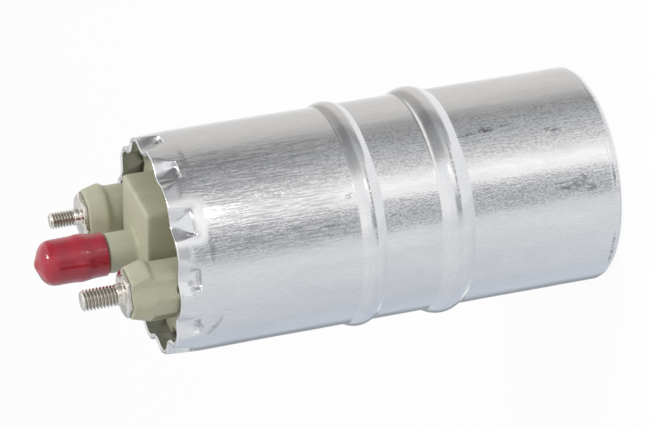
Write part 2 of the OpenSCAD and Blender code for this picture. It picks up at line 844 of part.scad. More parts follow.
// A terminal stud with its hex, chamfered tip and riveted foot
module terminal_stud(s, d, thread_l, hex_w) {
    r = d / 2;
    tip_z = boss_top_z + hex_t + thread_l;
    tip = 0.6;
    hex_r = hex_w / 2 / cos(30);
    foot_z = strap_z - rivet_h;
    foot_r = r + 0.5;
    translate([s * terminal_at, 0, 0]) {
        rotate_extrude() polygon([[0, foot_z], [foot_r, foot_z], [foot_r, strap_z], [r, strap_z],
            [r, tip_z - tip], [r - tip, tip_z], [0, tip_z]]);
        intersection() {
            translate([0, 0, boss_top_z]) cylinder(r = hex_r, h = hex_t, $fn = 6);
            rotate_extrude() polygon([[0, boss_top_z], [hex_r, boss_top_z],
                [hex_r, boss_top_z + hex_t / 2], [hex_w / 2 - 0.1, boss_top_z + hex_t],
                [0, boss_top_z + hex_t]]);
        }
    }
}

module terminal_stud_m5() {
    color("silver") terminal_stud(1, stud_m5_d, stud_m5_l, hex_m5_w);
}

module terminal_stud_m4() {
    color("silver") terminal_stud(-1, stud_m4_d, stud_m4_l, hex_m4_w);
}

module boss(s) {
    band_top_z = boss_top_z - boss_taper_h;
    band_z = band_top_z - boss_band_h;
    neck_z = band_z - (boss_collar_r - boss_neck_r);
    translate([s * terminal_at, 0, 0]) rotate_extrude() polygon([[0, cap_face_z - over],
        [boss_neck_r, cap_face_z - over], [boss_neck_r, neck_z], [boss_collar_r, band_z],
        [boss_collar_r, band_top_z], [boss_top_r, boss_top_z], [0, boss_top_z]]);
}

// The central block, with round upright corners
module block() {
    r = block_corner_r;
    translate([0, 0, cap_face_z - over]) linear_extrude(block_h + over) {
        square([block_x, block_y - 2 * r], center = true);
        square([block_x - 2 * r, block_y], center = true);
        for (x = [-1, 1], y = [-1, 1])
            translate([x * (block_x / 2 - r), y * (block_y / 2 - r)]) circle(r = r, $fn = 32);
    }
}

module nipple() {
    fillet_r = 1;
    barb_z = nipple_top_z - barb_count * barb_l;
    rotate_extrude() polygon(concat(
        [[0, block_top_z - over], [nipple_root_r + fillet_r, block_top_z - over]],
        [for (a = [0 : 15 : 90]) [nipple_root_r + fillet_r * (1 - sin(a)),
            block_top_z + fillet_r * (1 - cos(a))]],
        [[nipple_root_r, nipple_shoulder_z], [nipple_r, nipple_shoulder_z]],
        [for (i = [0 : barb_count - 1], k = [0, 1]) k == 0
            ? [nipple_r, barb_z + i * barb_l]
            : [nipple_r + barb_h, barb_z + i * barb_l + 0.4]],
        [[nipple_r, nipple_top_z], [0, nipple_top_z]]));
}

module end_cap() {
    notch_r = dent_back_r - housing_fit;
    notch_side = dent_side + 0.4;
    color([0.71, 0.72, 0.60]) difference() {
        union() {
            bar(fit_r, skirt_z, shoulder_z + over / 2);
            bar(bore_r - 2 * housing_fit, shoulder_z, cap_face_z);
            block();
            boss(1);
            boss(-1);
            nipple();
        }
        bar(skirt_bore_r, skirt_z - over, holder_top_z);
        bar(ledge_r, skirt_z - over, cap_under_z);
        bar(valve_chamber_r, cap_under_z - over, valve_top_z);
        bar(nipple_bore_r, valve_top_z - over, nipple_top_z + over);
        bar(stud_m5_d / 2 + press_gap, cap_under_z - over, boss_top_z + over,
            [terminal_at, 0]);
        bar(stud_m4_d / 2 + press_gap, cap_under_z - over, boss_top_z + over,
            [-terminal_at, 0]);
        seal_groove(cap_seal_z);
        at_dents() ring(notch_r, bore_r + over, shoulder_z, housing_h + loose_gap,
            -crimp_w / 2 - notch_side, crimp_w + 2 * notch_side);
    }
}

module cap_seal() {
    color("dimgray") seal(cap_seal_z);
}

module check_valve_seat() {
    ledge = 0.9;
    color("goldenrod") difference() {
        bar(seat_bore_r, cap_under_z, plunger_z);
        bar(valve_hole_r, cap_under_z - over, plunger_z + over);
        ring(valve_hole_r + ledge, valve_chamber_r + over, plunger_z - 0.8, plunger_z + over);
    }
}

module check_valve_plunger() {
    disc_r = valve_hole_r + 1.6;
    color("ivory") {
        bar(valve_hole_r - loose_gap, plunger_z - over, plunger_z + over / 2);
        bar(disc_r, plunger_z, plunger_z + valve_disc_t);
        intersection() {
            union() {
                post(2 * valve_chamber_r, fin_t, plunger_z, fin_top_z);
                post(fin_t, 2 * valve_chamber_r, plunger_z, fin_top_z);
            }
            bar(valve_chamber_r - running_gap - 0.05, plunger_z, fin_top_z);
        }
        bar(stem_r, plunger_z, fin_top_z + 2.2);
    }
}

module check_valve_spring() {
    color("lightsteelblue") spring("check valve", valve_spring_r, fin_top_z, valve_top_z,
        valve_spring_turns, valve_wire_d);
}

module protective_cap() {
    shoulder = 1.2;
    nib_r = 0.9;
    z0 = vinyl_z;
    top_z = z0 + vinyl_h;
    color([0.72, 0.16, 0.22]) rotate_extrude() polygon([
        [vinyl_bore_r, z0],
        [vinyl_r - 0.1, z0],
        [vinyl_r, z0 + 0.4],
        [vinyl_r, z0 + vinyl_bulge_z - 2],
        [vinyl_bulge_r, z0 + vinyl_bulge_z - 0.6],
        [vinyl_bulge_r, z0 + vinyl_bulge_z + 0.4],
        [vinyl_top_r, z0 + vinyl_bulge_z + 2.2],
        [vinyl_top_r, top_z - shoulder],
        [vinyl_top_r - 0.35, top_z - shoulder / 3],
        [vinyl_top_r - shoulder, top_z + vinyl_nose_h * 0.2],
        [nib_r + 1.3, top_z + vinyl_nose_h * 0.65],
        [nib_r, top_z + vinyl_nose_h - 0.3],
        [nib_r - 0.5, top_z + vinyl_nose_h],
        [0, top_z + vinyl_nose_h],
        [0, z0 + vinyl_bore_h],
        [vinyl_bore_r, z0 + vinyl_bore_h]]);
}

housing();
inlet_cover();
inlet_seal();
inlet_screen();
pump_ring();
inner_rotor();
outer_rotor();
outlet_plate();
pump_screws();
relief_ball();
relief_spring();
relief_retainer();
lower_bearing();
drive_coupling();
flux_ring();
magnet_north();
magnet_south();
magnet_clips();
armature_shaft();
armature_core();
armature_windings();
slot_insulator_lower();
slot_insulator_upper();
commutator_hub();
commutator_bars();
thrust_washer();
upper_bearing();
brush_holder();
brush_positive();
brush_negative();
brush_spring_positive();
brush_spring_negative();
brush_lead_positive();
brush_lead_negative();
contact_strap_positive();
contact_strap_negative();
terminal_stud_m5();
terminal_stud_m4();
end_cap();
cap_seal();
check_valve_seat();
check_valve_plunger();
check_valve_spring();
protective_cap();
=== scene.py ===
import json
import math

import bpy
import numpy as np
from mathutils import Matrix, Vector


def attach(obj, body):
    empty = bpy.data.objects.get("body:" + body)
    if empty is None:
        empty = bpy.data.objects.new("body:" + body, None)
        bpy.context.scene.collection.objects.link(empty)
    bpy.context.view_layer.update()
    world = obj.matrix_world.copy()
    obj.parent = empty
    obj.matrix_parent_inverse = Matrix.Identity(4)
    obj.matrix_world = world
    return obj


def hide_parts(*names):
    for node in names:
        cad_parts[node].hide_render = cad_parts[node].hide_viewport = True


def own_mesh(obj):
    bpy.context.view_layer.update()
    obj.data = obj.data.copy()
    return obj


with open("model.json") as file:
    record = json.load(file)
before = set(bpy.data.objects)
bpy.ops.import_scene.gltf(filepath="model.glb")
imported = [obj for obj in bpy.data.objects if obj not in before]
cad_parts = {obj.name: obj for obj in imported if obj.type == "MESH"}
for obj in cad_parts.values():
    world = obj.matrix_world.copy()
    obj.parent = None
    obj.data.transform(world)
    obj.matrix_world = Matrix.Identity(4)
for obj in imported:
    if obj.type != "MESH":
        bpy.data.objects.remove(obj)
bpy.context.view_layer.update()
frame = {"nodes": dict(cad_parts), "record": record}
nodes = frame["nodes"]
mm = 0.001
studio = bpy.context.scene
studio.view_settings.view_transform = "Standard"


def smoothStep(value, start=0, length=1):
    # 0 up to start, 1 from start plus length on, smooth between
    t = np.clip((value - start) / length, 0, 1)
    return t * t * (3 - 2 * t)


def turnsOf(columnCount):
    # the angles of points spaced evenly round an axis
    return np.arange(columnCount) * 2 * math.pi / columnCount


def waves(settings, turn, z):
    # a sum of waves, each given by depth, number round the axis, twist over the height and start
    return sum(depth * np.sin(count * turn + twist * z + start)
               for depth, count, twist, start in settings)


def gridFaces(rowCount, columnCount, loop=False):
    # quads between rows of points that run round an axis; loop joins the last row to the first
    index = np.arange(rowCount * columnCount).reshape(rowCount, columnCount)
    upper = np.roll(index, -1, axis=0) if loop else index[1:]
    lower = index if loop else index[:-1]
    quads = np.stack([lower, np.roll(lower, -1, 1), np.roll(upper, -1, 1), upper], -1)
    return quads.reshape(-1, 4).tolist()


def rodFaces(rowCount, columnCount):
    # the quads of such rows, and a face over the first row and over the last
    last = (rowCount - 1) * columnCount
    ends = [list(range(columnCount))[::-1], list(range(last, last + columnCount))]
    return gridFaces(rowCount, columnCount) + ends


def roundRows(radius, height, columnCount, centre=(0, 0)):
    # rows of points from radii and heights, each given per row or per row and column
    def spread(values):
        rows = np.asarray(values, float).reshape(len(values), -1)
        return np.broadcast_to(rows, (len(rows), columnCount))

    radius, height, turn = spread(radius), spread(height), turnsOf(columnCount)
    return np.stack([centre[0] + radius * np.cos(turn), centre[1] + radius * np.sin(turn), height], -1)


def makePiece(name, points, faces, material, body, stands, sharpAngle):
    mesh = bpy.data.meshes.new(name)
    mesh.from_pydata((np.asarray(points) * mm).tolist(), [], faces)
    mesh.validate()
    mesh.shade_smooth()
    mesh.set_sharp_from_angle(angle=math.radians(sharpAngle))
    mesh.materials.append(material)
    piece = bpy.data.objects.new(name, mesh)
    studio.collection.objects.link(piece)
    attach(piece, body)
    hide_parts(*stands)
    return piece


print("scene: camera")
viewpoint = {
    "place": (587.54, 383.57, 281.73),  # millimetres, in the part's frame
    "turn": (-28.7608, 70.3656, 2.8633),  # degrees about X, Y and Z
    "lens": 171.727, "sensor": 36,  # millimetres, as the next are
    "clip": (10, 50000),  # the nearest and the farthest that it sees
}
cameraData = bpy.data.cameras.new("camera")
cameraData.sensor_fit = "HORIZONTAL"
cameraData.sensor_width = viewpoint["sensor"]
cameraData.lens = viewpoint["lens"]
cameraData.clip_start, cameraData.clip_end = [edge * mm for edge in viewpoint["clip"]]
camera = bpy.data.objects.new("camera", cameraData)
studio.collection.objects.link(camera)
camera.location = Vector(viewpoint["place"]) * mm
camera.rotation_euler = [math.radians(a) for a in viewpoint["turn"]]
studio.camera = camera


def bothWays(operation):
    # an operator's two forms, with the signal before the sign and after it
    return (lambda self, other: self.shader.math(operation, self, other),
            lambda self, other: self.shader.math(operation, other, self))


class Signal:
    # wraps an output socket, so that expressions on values add Math nodes
    def __init__(self, shader, socket):
        self.shader, self.socket = shader, socket

    __add__, __radd__ = bothWays("ADD")
    __sub__, __rsub__ = bothWays("SUBTRACT")
    __mul__, __rmul__ = bothWays("MULTIPLY")
    __truediv__, __rtruediv__ = bothWays("DIVIDE")
    __pow__, __rpow__ = bothWays("POWER")

    def band(self, low, high):
        # 0 below low, 1 above high, smooth between
        return self.shader.node("ShaderNodeMapRange", {"interpolation_type": "SMOOTHSTEP"},
                                {"Value": self, "From Min": low, "From Max": high})

    def most(self, other):
        return self.shader.math("MAXIMUM", self, other)

    def sine(self):
        return self.shader.math("SINE", self)

    def part(self, name):
        # another output of the same node
        return Signal(self.shader, self.socket.node.outputs[name])


class Shader:
    # adds nodes to the tree of a material or the world
    def __init__(self, tree):
        self.tree = tree
        self.tree.nodes.clear()

    def node(self, kind, settings=None, inputs=None, output=0):
        made = self.tree.nodes.new(kind)
        for key, value in (settings or {}).items():
            if key == "stops":
                self.setStops(made.color_ramp.elements, value)
            elif key == "ramp":
                made.color_ramp.interpolation = value
            else:
                setattr(made, key, value)
        for key, value in (inputs or {}).items():
            self.feed(made.inputs[key], value)
        return Signal(self, made.outputs[output]) if len(made.outputs) else None

    def setStops(self, ramp, stops):
        while len(ramp) > 1:
            ramp.remove(ramp[-1])
        ramp[0].position = stops[0][0]
        elements = [ramp[0]] + [ramp.new(place) for place, shade in stops[1:]]
        for element, (place, shade) in zip(elements, stops):
            element.color = (*shade, 1)

    def feed(self, socket, value):
        if isinstance(value, Signal):
            self.tree.links.new(value.socket, socket)
        elif isinstance(value, tuple) and len(value) == 3 and len(socket.default_value) == 4:
            socket.default_value = (*value, 1)
        else:
            socket.default_value = value

    def math(self, operation, *values):
        return self.node("ShaderNodeMath", {"operation": operation}, dict(enumerate(values)))

    def mix(self, share, first, second):
        # 0, 6 and 7 are the factor and the two colours, and output 2 is the colour between them
        return self.node("ShaderNodeMix", {"data_type": "RGBA"}, {0: share, 6: first, 7: second}, 2)

    def place(self, stretch=(1, 1, 1)):
        # the surface's own place in millimetres, each axis times its stretch
        at = self.node("ShaderNodeTexCoord", output="Object")
        return self.node("ShaderNodeVectorMath", {"operation": "MULTIPLY"},
                         {0: at, 1: tuple(s / mm for s in stretch)})

    def noise(self, stretch, scale, detail=2, rough=0.5, twist=0):
        return self.node("ShaderNodeTexNoise", {"noise_dimensions": "3D"}, {
            "Vector": self.place(stretch), "Scale": scale, "Detail": detail, "Roughness": rough,
            "Distortion": twist})

    def split(self, vector):
        parts = self.node("ShaderNodeSeparateXYZ", {}, {0: vector})
        return [parts.part(axis) for axis in "XYZ"]

    def attribute(self, name):
        return self.node("ShaderNodeAttribute", {"attribute_name": name}, output="Fac")

    def bump(self, height, distance, strength=1):
        return self.node("ShaderNodeBump", {}, {
            "Height": height, "Distance": distance * mm, "Strength": strength})


def newMaterial(name):
    material = bpy.data.materials.new(name)
    material.use_nodes = True
    return material, Shader(material.node_tree)


def finishMaterial(shader, sockets):
    surface = shader.node("ShaderNodeBsdfPrincipled", {}, sockets)
    shader.node("ShaderNodeOutputMaterial", {}, {"Surface": surface})


print("scene: studio")
softLight = {
    # light on matt surfaces comes from all round, more of it from one side than from the other
    "aroundLevel": 0.86, "aroundFrom": (-0.55, 0.50, 0.67), "aroundLeast": (0.42, 0.42, 0.42),
    # what polished metal sees: bands all round, an open tone above them, a soft box over that and
    # a table below; here are the level of it all, the three tones, and how softly the last two begin
    "glossLevel": 1.25,
    "openTone": (0.80, 0.81, 0.82), "skyTone": (0.84, 0.84, 0.835), "tableTone": (0.78, 0.785, 0.795),
    "skySoft": 0.06, "tableSoft": 0.09,
    # degrees from +X, and the sine of the height where the soft box begins
    "skyLine": ((-180, 0.05), (-170, 0.14), (-158, 0.34), (-100, 0.32), (40, 0.32), (52, 0.50),
                (60, 0.59), (76, 0.575), (86, 0.545), (96, 0.51), (110, 0.45), (130, 0.35),
                (150, 0.235), (170, 0.11), (179, 0.05)),
    # degrees from +X, and the sine of the depth where the table begins
    "tableLine": ((-180, 0.36), (-150, 0.40), (-100, 0.45), (60, 0.45), (82, 0.54), (95, 0.64),
                  (110, 0.65), (130, 0.60), (150, 0.52), (179, 0.38)),
    # sines of the height over which the open tone sets in; from darkStart round to darkStop, in
    # degrees from +X, the bands stay instead, and get darker by this share
    "overEdge": (-0.22, 0.02), "shade": 0.34, "darkStart": (50.4, 79.2), "darkStop": (-136.8, -108),
    # how far the three tones fade on the side that is low in the picture, and over which degrees
    "lowFade": 0.9, "lowStart": (-122.4, -108), "lowStop": (-3.6, 25.2),
}
# the bands, of which a ramp holds up to 32: degrees from +X, level, blue against red
glossBands = [
    (-180, 0.61, 0.97), (-165, 0.69, 0.98), (-150, 0.86, 0.99), (-140, 0.50, 1.10), (-132, 0.26, 1.16),
    (-124, 0.27, 1.20), (-110, 0.50, 1.20), (-90, 0.51, 1.16), (-60, 0.56, 1.08), (-30, 0.61, 1.06),
    (-8, 0.66, 1.03), (10, 0.58, 1.02), (17, 0.36, 1.05), (26, 0.38, 1.07), (36, 0.68, 1.02),
    (45, 0.88, 0.98), (52, 0.97, 0.98), (60, 0.78, 0.98), (74, 0.64, 1.00), (88, 0.49, 1.03),
    (100, 0.405, 1.04), (112, 0.31, 1.02), (122, 0.33, 1.00), (136, 0.52, 0.95), (155, 0.60, 0.95),
    (179, 0.61, 0.96),
]
greenLean = 0.4  # how far green follows blue in the bands


def turnShare(degrees):
    # degrees from +X, as a share of a ramp that runs once round
    return (degrees + 180) / 360


def makeWorld():
    world = bpy.data.worlds.new("studio")
    world.use_nodes = True
    studio.world = world
    sky = Shader(world.node_tree)
    direction = sky.node("ShaderNodeTexCoord", output="Generated")
    x, y, elevation = sky.split(direction)
    azimuth = sky.math("ARCTAN2", y, x) / (2 * math.pi) + 0.5

    def ramp(stops, kind):
        placed = [(turnShare(degrees), tone) for degrees, tone in stops]
        return sky.node("ShaderNodeValToRGB", {"stops": placed, "ramp": kind}, {0: azimuth})

    def heightRamp(line):
        return ramp([(degrees, (height,) * 3) for degrees, height in softLight[line]], "LINEAR")

    def past(edge):
        # 0 before the degrees of this edge, 1 after them
        return azimuth.band(*[turnShare(degrees) for degrees in softLight[edge]])

    bands = ramp([(degrees, (level, level * (1 - greenLean + greenLean * blue), level * blue))
                  for degrees, level, blue in glossBands], "EASE")
    darkSide = past("darkStart") + (1 - past("darkStop"))
    shown = 1 - (1 - past("lowStop")) * past("lowStart") * softLight["lowFade"]
    overEdge = elevation.band(*softLight["overEdge"])
    overSky = (elevation - heightRamp("skyLine")).band(0, softLight["skySoft"])
    underTable = (elevation * -1 - heightRamp("tableLine")).band(0, softLight["tableSoft"])
    glossy = sky.mix(overEdge * darkSide * softLight["shade"], bands, (0, 0, 0))
    glossy = sky.mix(overEdge * (1 - darkSide) * shown, glossy, softLight["openTone"])
    glossy = sky.mix(overSky * shown, glossy, softLight["skyTone"])
    glossy = sky.mix(underTable * shown, glossy, softLight["tableTone"])

    # the camera and clear pieces see plain white, shiny surfaces the bands, and matt ones soft light
    paths = sky.node("ShaderNodeLightPath")
    clear = paths.part("Is Camera Ray").most(paths.part("Is Transmission Ray"))
    fromSide = sky.node("ShaderNodeVectorMath", {"operation": "DOT_PRODUCT"},
                        {0: direction, 1: softLight["aroundFrom"]}, "Value") * 0.5 + 0.5
    around = sky.mix(fromSide, softLight["aroundLeast"], (1, 1, 1))
    matt, shiny, white = [
        sky.node("ShaderNodeBackground", {}, {"Color": colour, "Strength": level})
        for colour, level in ((around, softLight["aroundLevel"]), (glossy, softLight["glossLevel"]),
                              ((1, 1, 1), 1))]
    lit = sky.node("ShaderNodeMixShader", {}, {0: paths.part("Is Glossy Ray"), 1: matt, 2: shiny})
    backdrop = sky.node("ShaderNodeMixShader", {}, {0: clear, 1: lit, 2: white})
    sky.node("ShaderNodeOutputWorld", {}, {"Surface": backdrop})


makeWorld()

# places and sizes in millimetres, power in watts, and whether shiny surfaces mirror the lamp
lamps = {
    "key": {"place": (60, 400, 700), "size": 170, "power": 1.8, "colour": (1.0, 0.99, 0.97),
            "mirrored": True},
    "side": {"place": (520, -420, 520), "size": 380, "power": 0.15, "colour": (0.95, 0.97, 1.0),
             "mirrored": False},
    "glint": {"place": (224, 332, 8), "size": 36, "power": 0.011, "colour": (1.0, 1.0, 1.0),
              "mirrored": True},
}
lampAim = (0, 0, 90)  # the place on the pump's axis that every lamp points at


def makeLamp(name, settings):
    data = bpy.data.lights.new(name, "AREA")
    data.shape = "DISK"
    data.size = settings["size"] * mm
    data.energy = settings["power"]
    data.color = settings["colour"]
    lamp = bpy.data.objects.new(name, data)
    studio.collection.objects.link(lamp)
    lamp.location = Vector(settings["place"]) * mm
    lamp.visible_camera = False
    lamp.visible_glossy = settings["mirrored"]
    aim = Vector(lampAim) * mm - lamp.location
    lamp.rotation_euler = aim.to_track_quat("-Z", "Y").to_euler()


for name, settings in lamps.items():
    makeLamp(name, settings)

paperFloor = {
    "half": 6000, "below": 0.1,  # half its side, and how far it lies under the pump
    "tones": ((0.86, 0.86, 0.86), (0.9, 0.9, 0.9)), "grain": ((1, 1, 1), 0.4, 3), "rough": 0.9,
    "whiteShare": 0.93,  # how much of what the camera sees of it is plain white
}


def floorMaterial():
    look = paperFloor
    material, shader = newMaterial("paperFloor")
    tone = shader.mix(shader.noise(*look["grain"]), *look["tones"])
    paper = shader.node("ShaderNodeBsdfPrincipled", {}, {
        "Base Color": tone, "Roughness": look["rough"]})
    glow = shader.node("ShaderNodeEmission", {}, {"Color": (1, 1, 1), "Strength": 1})
    cameraRay = shader.node("ShaderNodeLightPath", output="Is Camera Ray")
    surface = shader.node("ShaderNodeMixShader", {}, {
        0: cameraRay * look["whiteShare"], 1: paper, 2: glow})
    shader.node("ShaderNodeOutputMaterial", {}, {"Surface": surface})
    return material


def makeFloor(material):
    half, depth = paperFloor["half"] * mm, paperFloor["below"] * mm
    corners = [(x * half, y * half, -depth) for x, y in ((-1, -1), (1, -1), (1, 1), (-1, 1))]
    mesh = bpy.data.meshes.new("floor")
    mesh.from_pydata(corners, [], [(0, 1, 2, 3)])
    mesh.materials.append(material)
    floor = bpy.data.objects.new("floor", mesh)
    studio.collection.objects.link(floor)
    floor.visible_glossy = False


makeFloor(floorMaterial())


print("scene: housing")
tube = {
    "radius": 26.0, "wall": 1.0, "top": 109.2, "columns": 720,
    "edgeRadius": 1.9, "lip": 21.4, "lipRound": 0.1,  # the rolled edge, and the opening that it leaves
    "rimDraw": 0.45, "drawStart": 101.6,  # how far the rim is drawn in, and from which height
    "rimCorner": ((0.04, 0.05), (0.14, 0.0)),  # points of the rim's corner, inward and down
    "beads": ((41.7, 1.4, 7.9), (62.5, 0.95, 5.9)),  # height of the crest, rise and width of the arc
    "beadFillet": 0.2, "filletRise": 0.004,  # and what the fillet would add to the crest
    "toolLine": (2.35, 0.05, 0.28),  # height, depth, half width
    # slight waves of the drawn sheet: depth, number round the tube, twist over the height, start
    "flutter": ((0.018, 5, 0.11, 0.0), (0.012, 11, -0.07, 1.3), (0.010, 3, 0.23, 0.5),
                (0.006, 19, 0.31, 2.1)),
    "flutterFrom": (4, 8),  # height where it starts, and over how much it grows
    # rows of points stand closer where the tube bends: from, to, spacing
    "rows": ((1.9, 3.6, 0.15), (3.6, 36.9, 1.4), (36.9, 46.5, 0.16), (46.5, 58.7, 1.2),
             (58.7, 66.3, 0.14), (66.3, 98.0, 1.4), (98.0, 102.3, 0.25), (102.3, 104.6, 0.11),
             (104.6, 109.04, 0.2)),
    "innerAll": 101.3, "innerStep": 6,  # inside, only each sixth row below this height
    "innerPlain": 4,  # and a plain tube below this one
}
dents = {
    "count": 12, "turn": 11.7,  # and the degrees from +X to the first one
    "largeOne": 1,  # the number of the large one, counted from 0
    # height of the step, half the width, depth at the step, and how high the sheet rises round it
    "plain": {"step": 104.2, "half": 2.3, "depth": 1.2, "lift": 0.05},
    "large": {"step": 104.0, "half": 3.0, "depth": 1.4, "lift": 0.5},
    "rimDepth": 2.02, "rimHalf": 5.4,  # depth and half width at the rim
    "sideIn": 0.3, "sideOut": 0.35,  # how far a side slopes within and past the half width
    "sideBlur": 0.85,  # the share of the way to the rim over which it widens
    "stepEase": (-0.1, 0.42),  # where the step starts, and over how much it goes in
    "liftAt": 1.65, "liftWidth": 0.95,  # distance and width of the raised sheet
    "liftFade": 0.5,  # how much of it is gone at the rim
}
# the burnished places: where the polish starts to fade or, at the rim, to set in, and over how much;
# then the width of the painted highlight on the ring round the large dent, and where it sets in
burnishAndHighlight = {"bead": (-0.1, 0.5), "dent": (1.6, 3.0), "rim": (104.5, 2), "haloWidth": 1.05, "haloFrom": 0.6}


def arcFrom(turn, degrees):
    # millimetres round the tube from a place on it, to either side
    apart = (np.degrees(turn) - degrees + 180) % 360 - 180
    return np.abs(np.radians(apart)) * tube["radius"]


def dentTurn(i):
    # degrees from +X to the middle of a dent
    return dents["turn"] + 360 * i / dents["count"]


def dentDepth(z, turn, off):
    # how far the dents press the sheet in, less the ridge that they push up round themselves
    depth = np.zeros(np.broadcast(z, turn).shape)
    for i in range(dents["count"]):
        dent = dents["large" if i == dents["largeOne"] else "plain"]
        step, half = dent["step"], dent["half"]
        apart = arcFrom(turn, dentTurn(i)) - off
        toRim = np.clip((z + off - step) / (tube["top"] - step), 0, 1)
        blur = smoothStep(toRim, 0, dents["sideBlur"])
        inner = (half - dents["sideIn"]) * (1 - blur)
        outer = half + dents["sideOut"] + (dents["rimHalf"] - half - dents["sideOut"]) * blur
        across = 1 - smoothStep(apart, inner, outer - inner)
        down = smoothStep(z + off - step, *dents["stepEase"])
        pressed = dent["depth"] + (dents["rimDepth"] - dent["depth"]) * smoothStep(toRim)
        depth = np.maximum(depth, pressed * across * down)
        outX = np.maximum(apart - half, 0)
        outZ = np.maximum(step - (z + off), 0)
        away = np.sqrt(outX ** 2 + outZ ** 2)
        lift = np.exp(-((away - dents["liftAt"]) / dents["liftWidth"]) ** 2)
        lift = lift * (1 - dents["liftFade"] * toRim)
        depth -= dent["lift"] * np.where((outX > 0) | (outZ > 0), lift, 0)
    return depth


def sheetRadius(z, turn, off=0.0):
    # radius of the sheet's outer face, or off millimetres inside it
    drawn = np.clip((z - tube["drawStart"]) / (tube["top"] - tube["drawStart"]), 0, 1)
    radius = tube["radius"] - off - tube["rimDraw"] * drawn
    soft = tube["beadFillet"] / 3  # the beads run into the tube through a fillet
    for crest, rise, width in tube["beads"]:
        arc = rise * (1 - ((z - crest) / (width / 2)) ** 2)
        arc = soft * np.logaddexp(0, arc / soft)
        radius = radius + arc * rise / (rise + tube["filletRise"])
    height, deep, wide = tube["toolLine"]
    radius = radius - deep * np.exp(-((z - height) / wide) ** 2)
    # the waves only go inward, so that the tube keeps its size
    flutter = waves(tube["flutter"], turn, z) - sum(wave[0] for wave in tube["flutter"])
    radius = radius + flutter * smoothStep(z, *tube["flutterFrom"])
    return radius - dentDepth(z, turn, off)


def sheetLevels():
    # the heights of the rows, up to and with the last one
    levels = [np.arange(low, high - step / 2, step) for low, high, step in tube["rows"]]
    return np.append(np.concatenate(levels), tube["rows"][-1][1])


def housingRows(turn):
    # the sheet's section as rows of radius and height, up the outside and down the inside
    r, wall, edge, lip = tube["radius"], tube["wall"], tube["edgeRadius"], tube["lip"]
    corner, lipRound = tube["rimCorner"], tube["lipRound"]

    def row(radius, height):
        return np.stack([np.broadcast_to(radius, turn.shape), np.full(turn.shape, height)], -1)

    def roll(radius, degrees):
        return [row(r - edge + radius * math.cos(a), edge + radius * math.sin(a))
                for a in np.radians(degrees)]

    levels = sheetLevels()
    outer = [row(lip + lipRound, 0), row(r - edge, 0)] + roll(edge, np.arange(-80, 1, 10))
    outer += [row(sheetRadius(z, turn), z) for z in levels]
    rim = [*corner, (wall / 2, 0.0), *((wall - inward, down) for inward, down in corner[::-1])]
    outer += [row(sheetRadius(tube["top"], turn) - inward, tube["top"] - down) for inward, down in rim]
    below, above = levels[levels <= tube["innerAll"]], levels[levels > tube["innerAll"]]
    inner = []
    for z in np.concatenate([above[::-1], below[::-1][::tube["innerStep"]]]):
        inner.append(row(sheetRadius(z, turn, wall) if z > tube["innerPlain"] else r - wall, z))
    inner += roll(edge - wall, np.arange(0, -91, -15))
    inner += [row(lip + lipRound, wall), row(lip, wall - lipRound), row(lip, lipRound)]
    return outer, inner


def makeHousing(material):
    turn = turnsOf(tube["columns"])
    outer, inner = housingRows(turn)
    grid = np.array(outer + inner)
    radius, z = grid[..., 0], grid[..., 1]
    points = np.stack([radius * np.cos(turn), radius * np.sin(turn), z], -1)
    faces = gridFaces(len(grid), len(turn), loop=True)
    piece = makePiece("housingShell", points.reshape(-1, 3), faces, material, "pump",
                      ["housing"], sharpAngle=50)
    # the sheet is burnished where it was pressed: on the beads, at the rim and round the large dent
    polish = smoothStep(z, *burnishAndHighlight["rim"])
    for crest, rise, width in tube["beads"]:
        polish = np.maximum(polish, 1 - smoothStep(np.abs(z - crest) - width / 2, *burnishAndHighlight["bead"]))
    large = dents["large"]
    apart = arcFrom(turn, dentTurn(dents["largeOne"]))
    away = np.hypot(np.maximum(apart - large["half"], 0), np.maximum(large["step"] - z, 0))
    polish = np.maximum(polish, 1 - smoothStep(away, *burnishAndHighlight["dent"]))
    # a painted highlight on the raised ring round the large dent: a mask for near-white colour and more
    # roughness
    halo = np.exp(-((away - dents["liftAt"]) / burnishAndHighlight["haloWidth"]) ** 2)
    halo = halo * smoothStep(away, 0, burnishAndHighlight["haloFrom"])
    inside = np.zeros_like(z)
    inside[len(outer):] = 1
    for attribute, share in (("polish", polish), ("halo", halo), ("inside", inside)):
        values = piece.data.attributes.new(attribute, "FLOAT", "POINT")
        values.data.foreach_set("value", share.astype(np.float32).ravel())


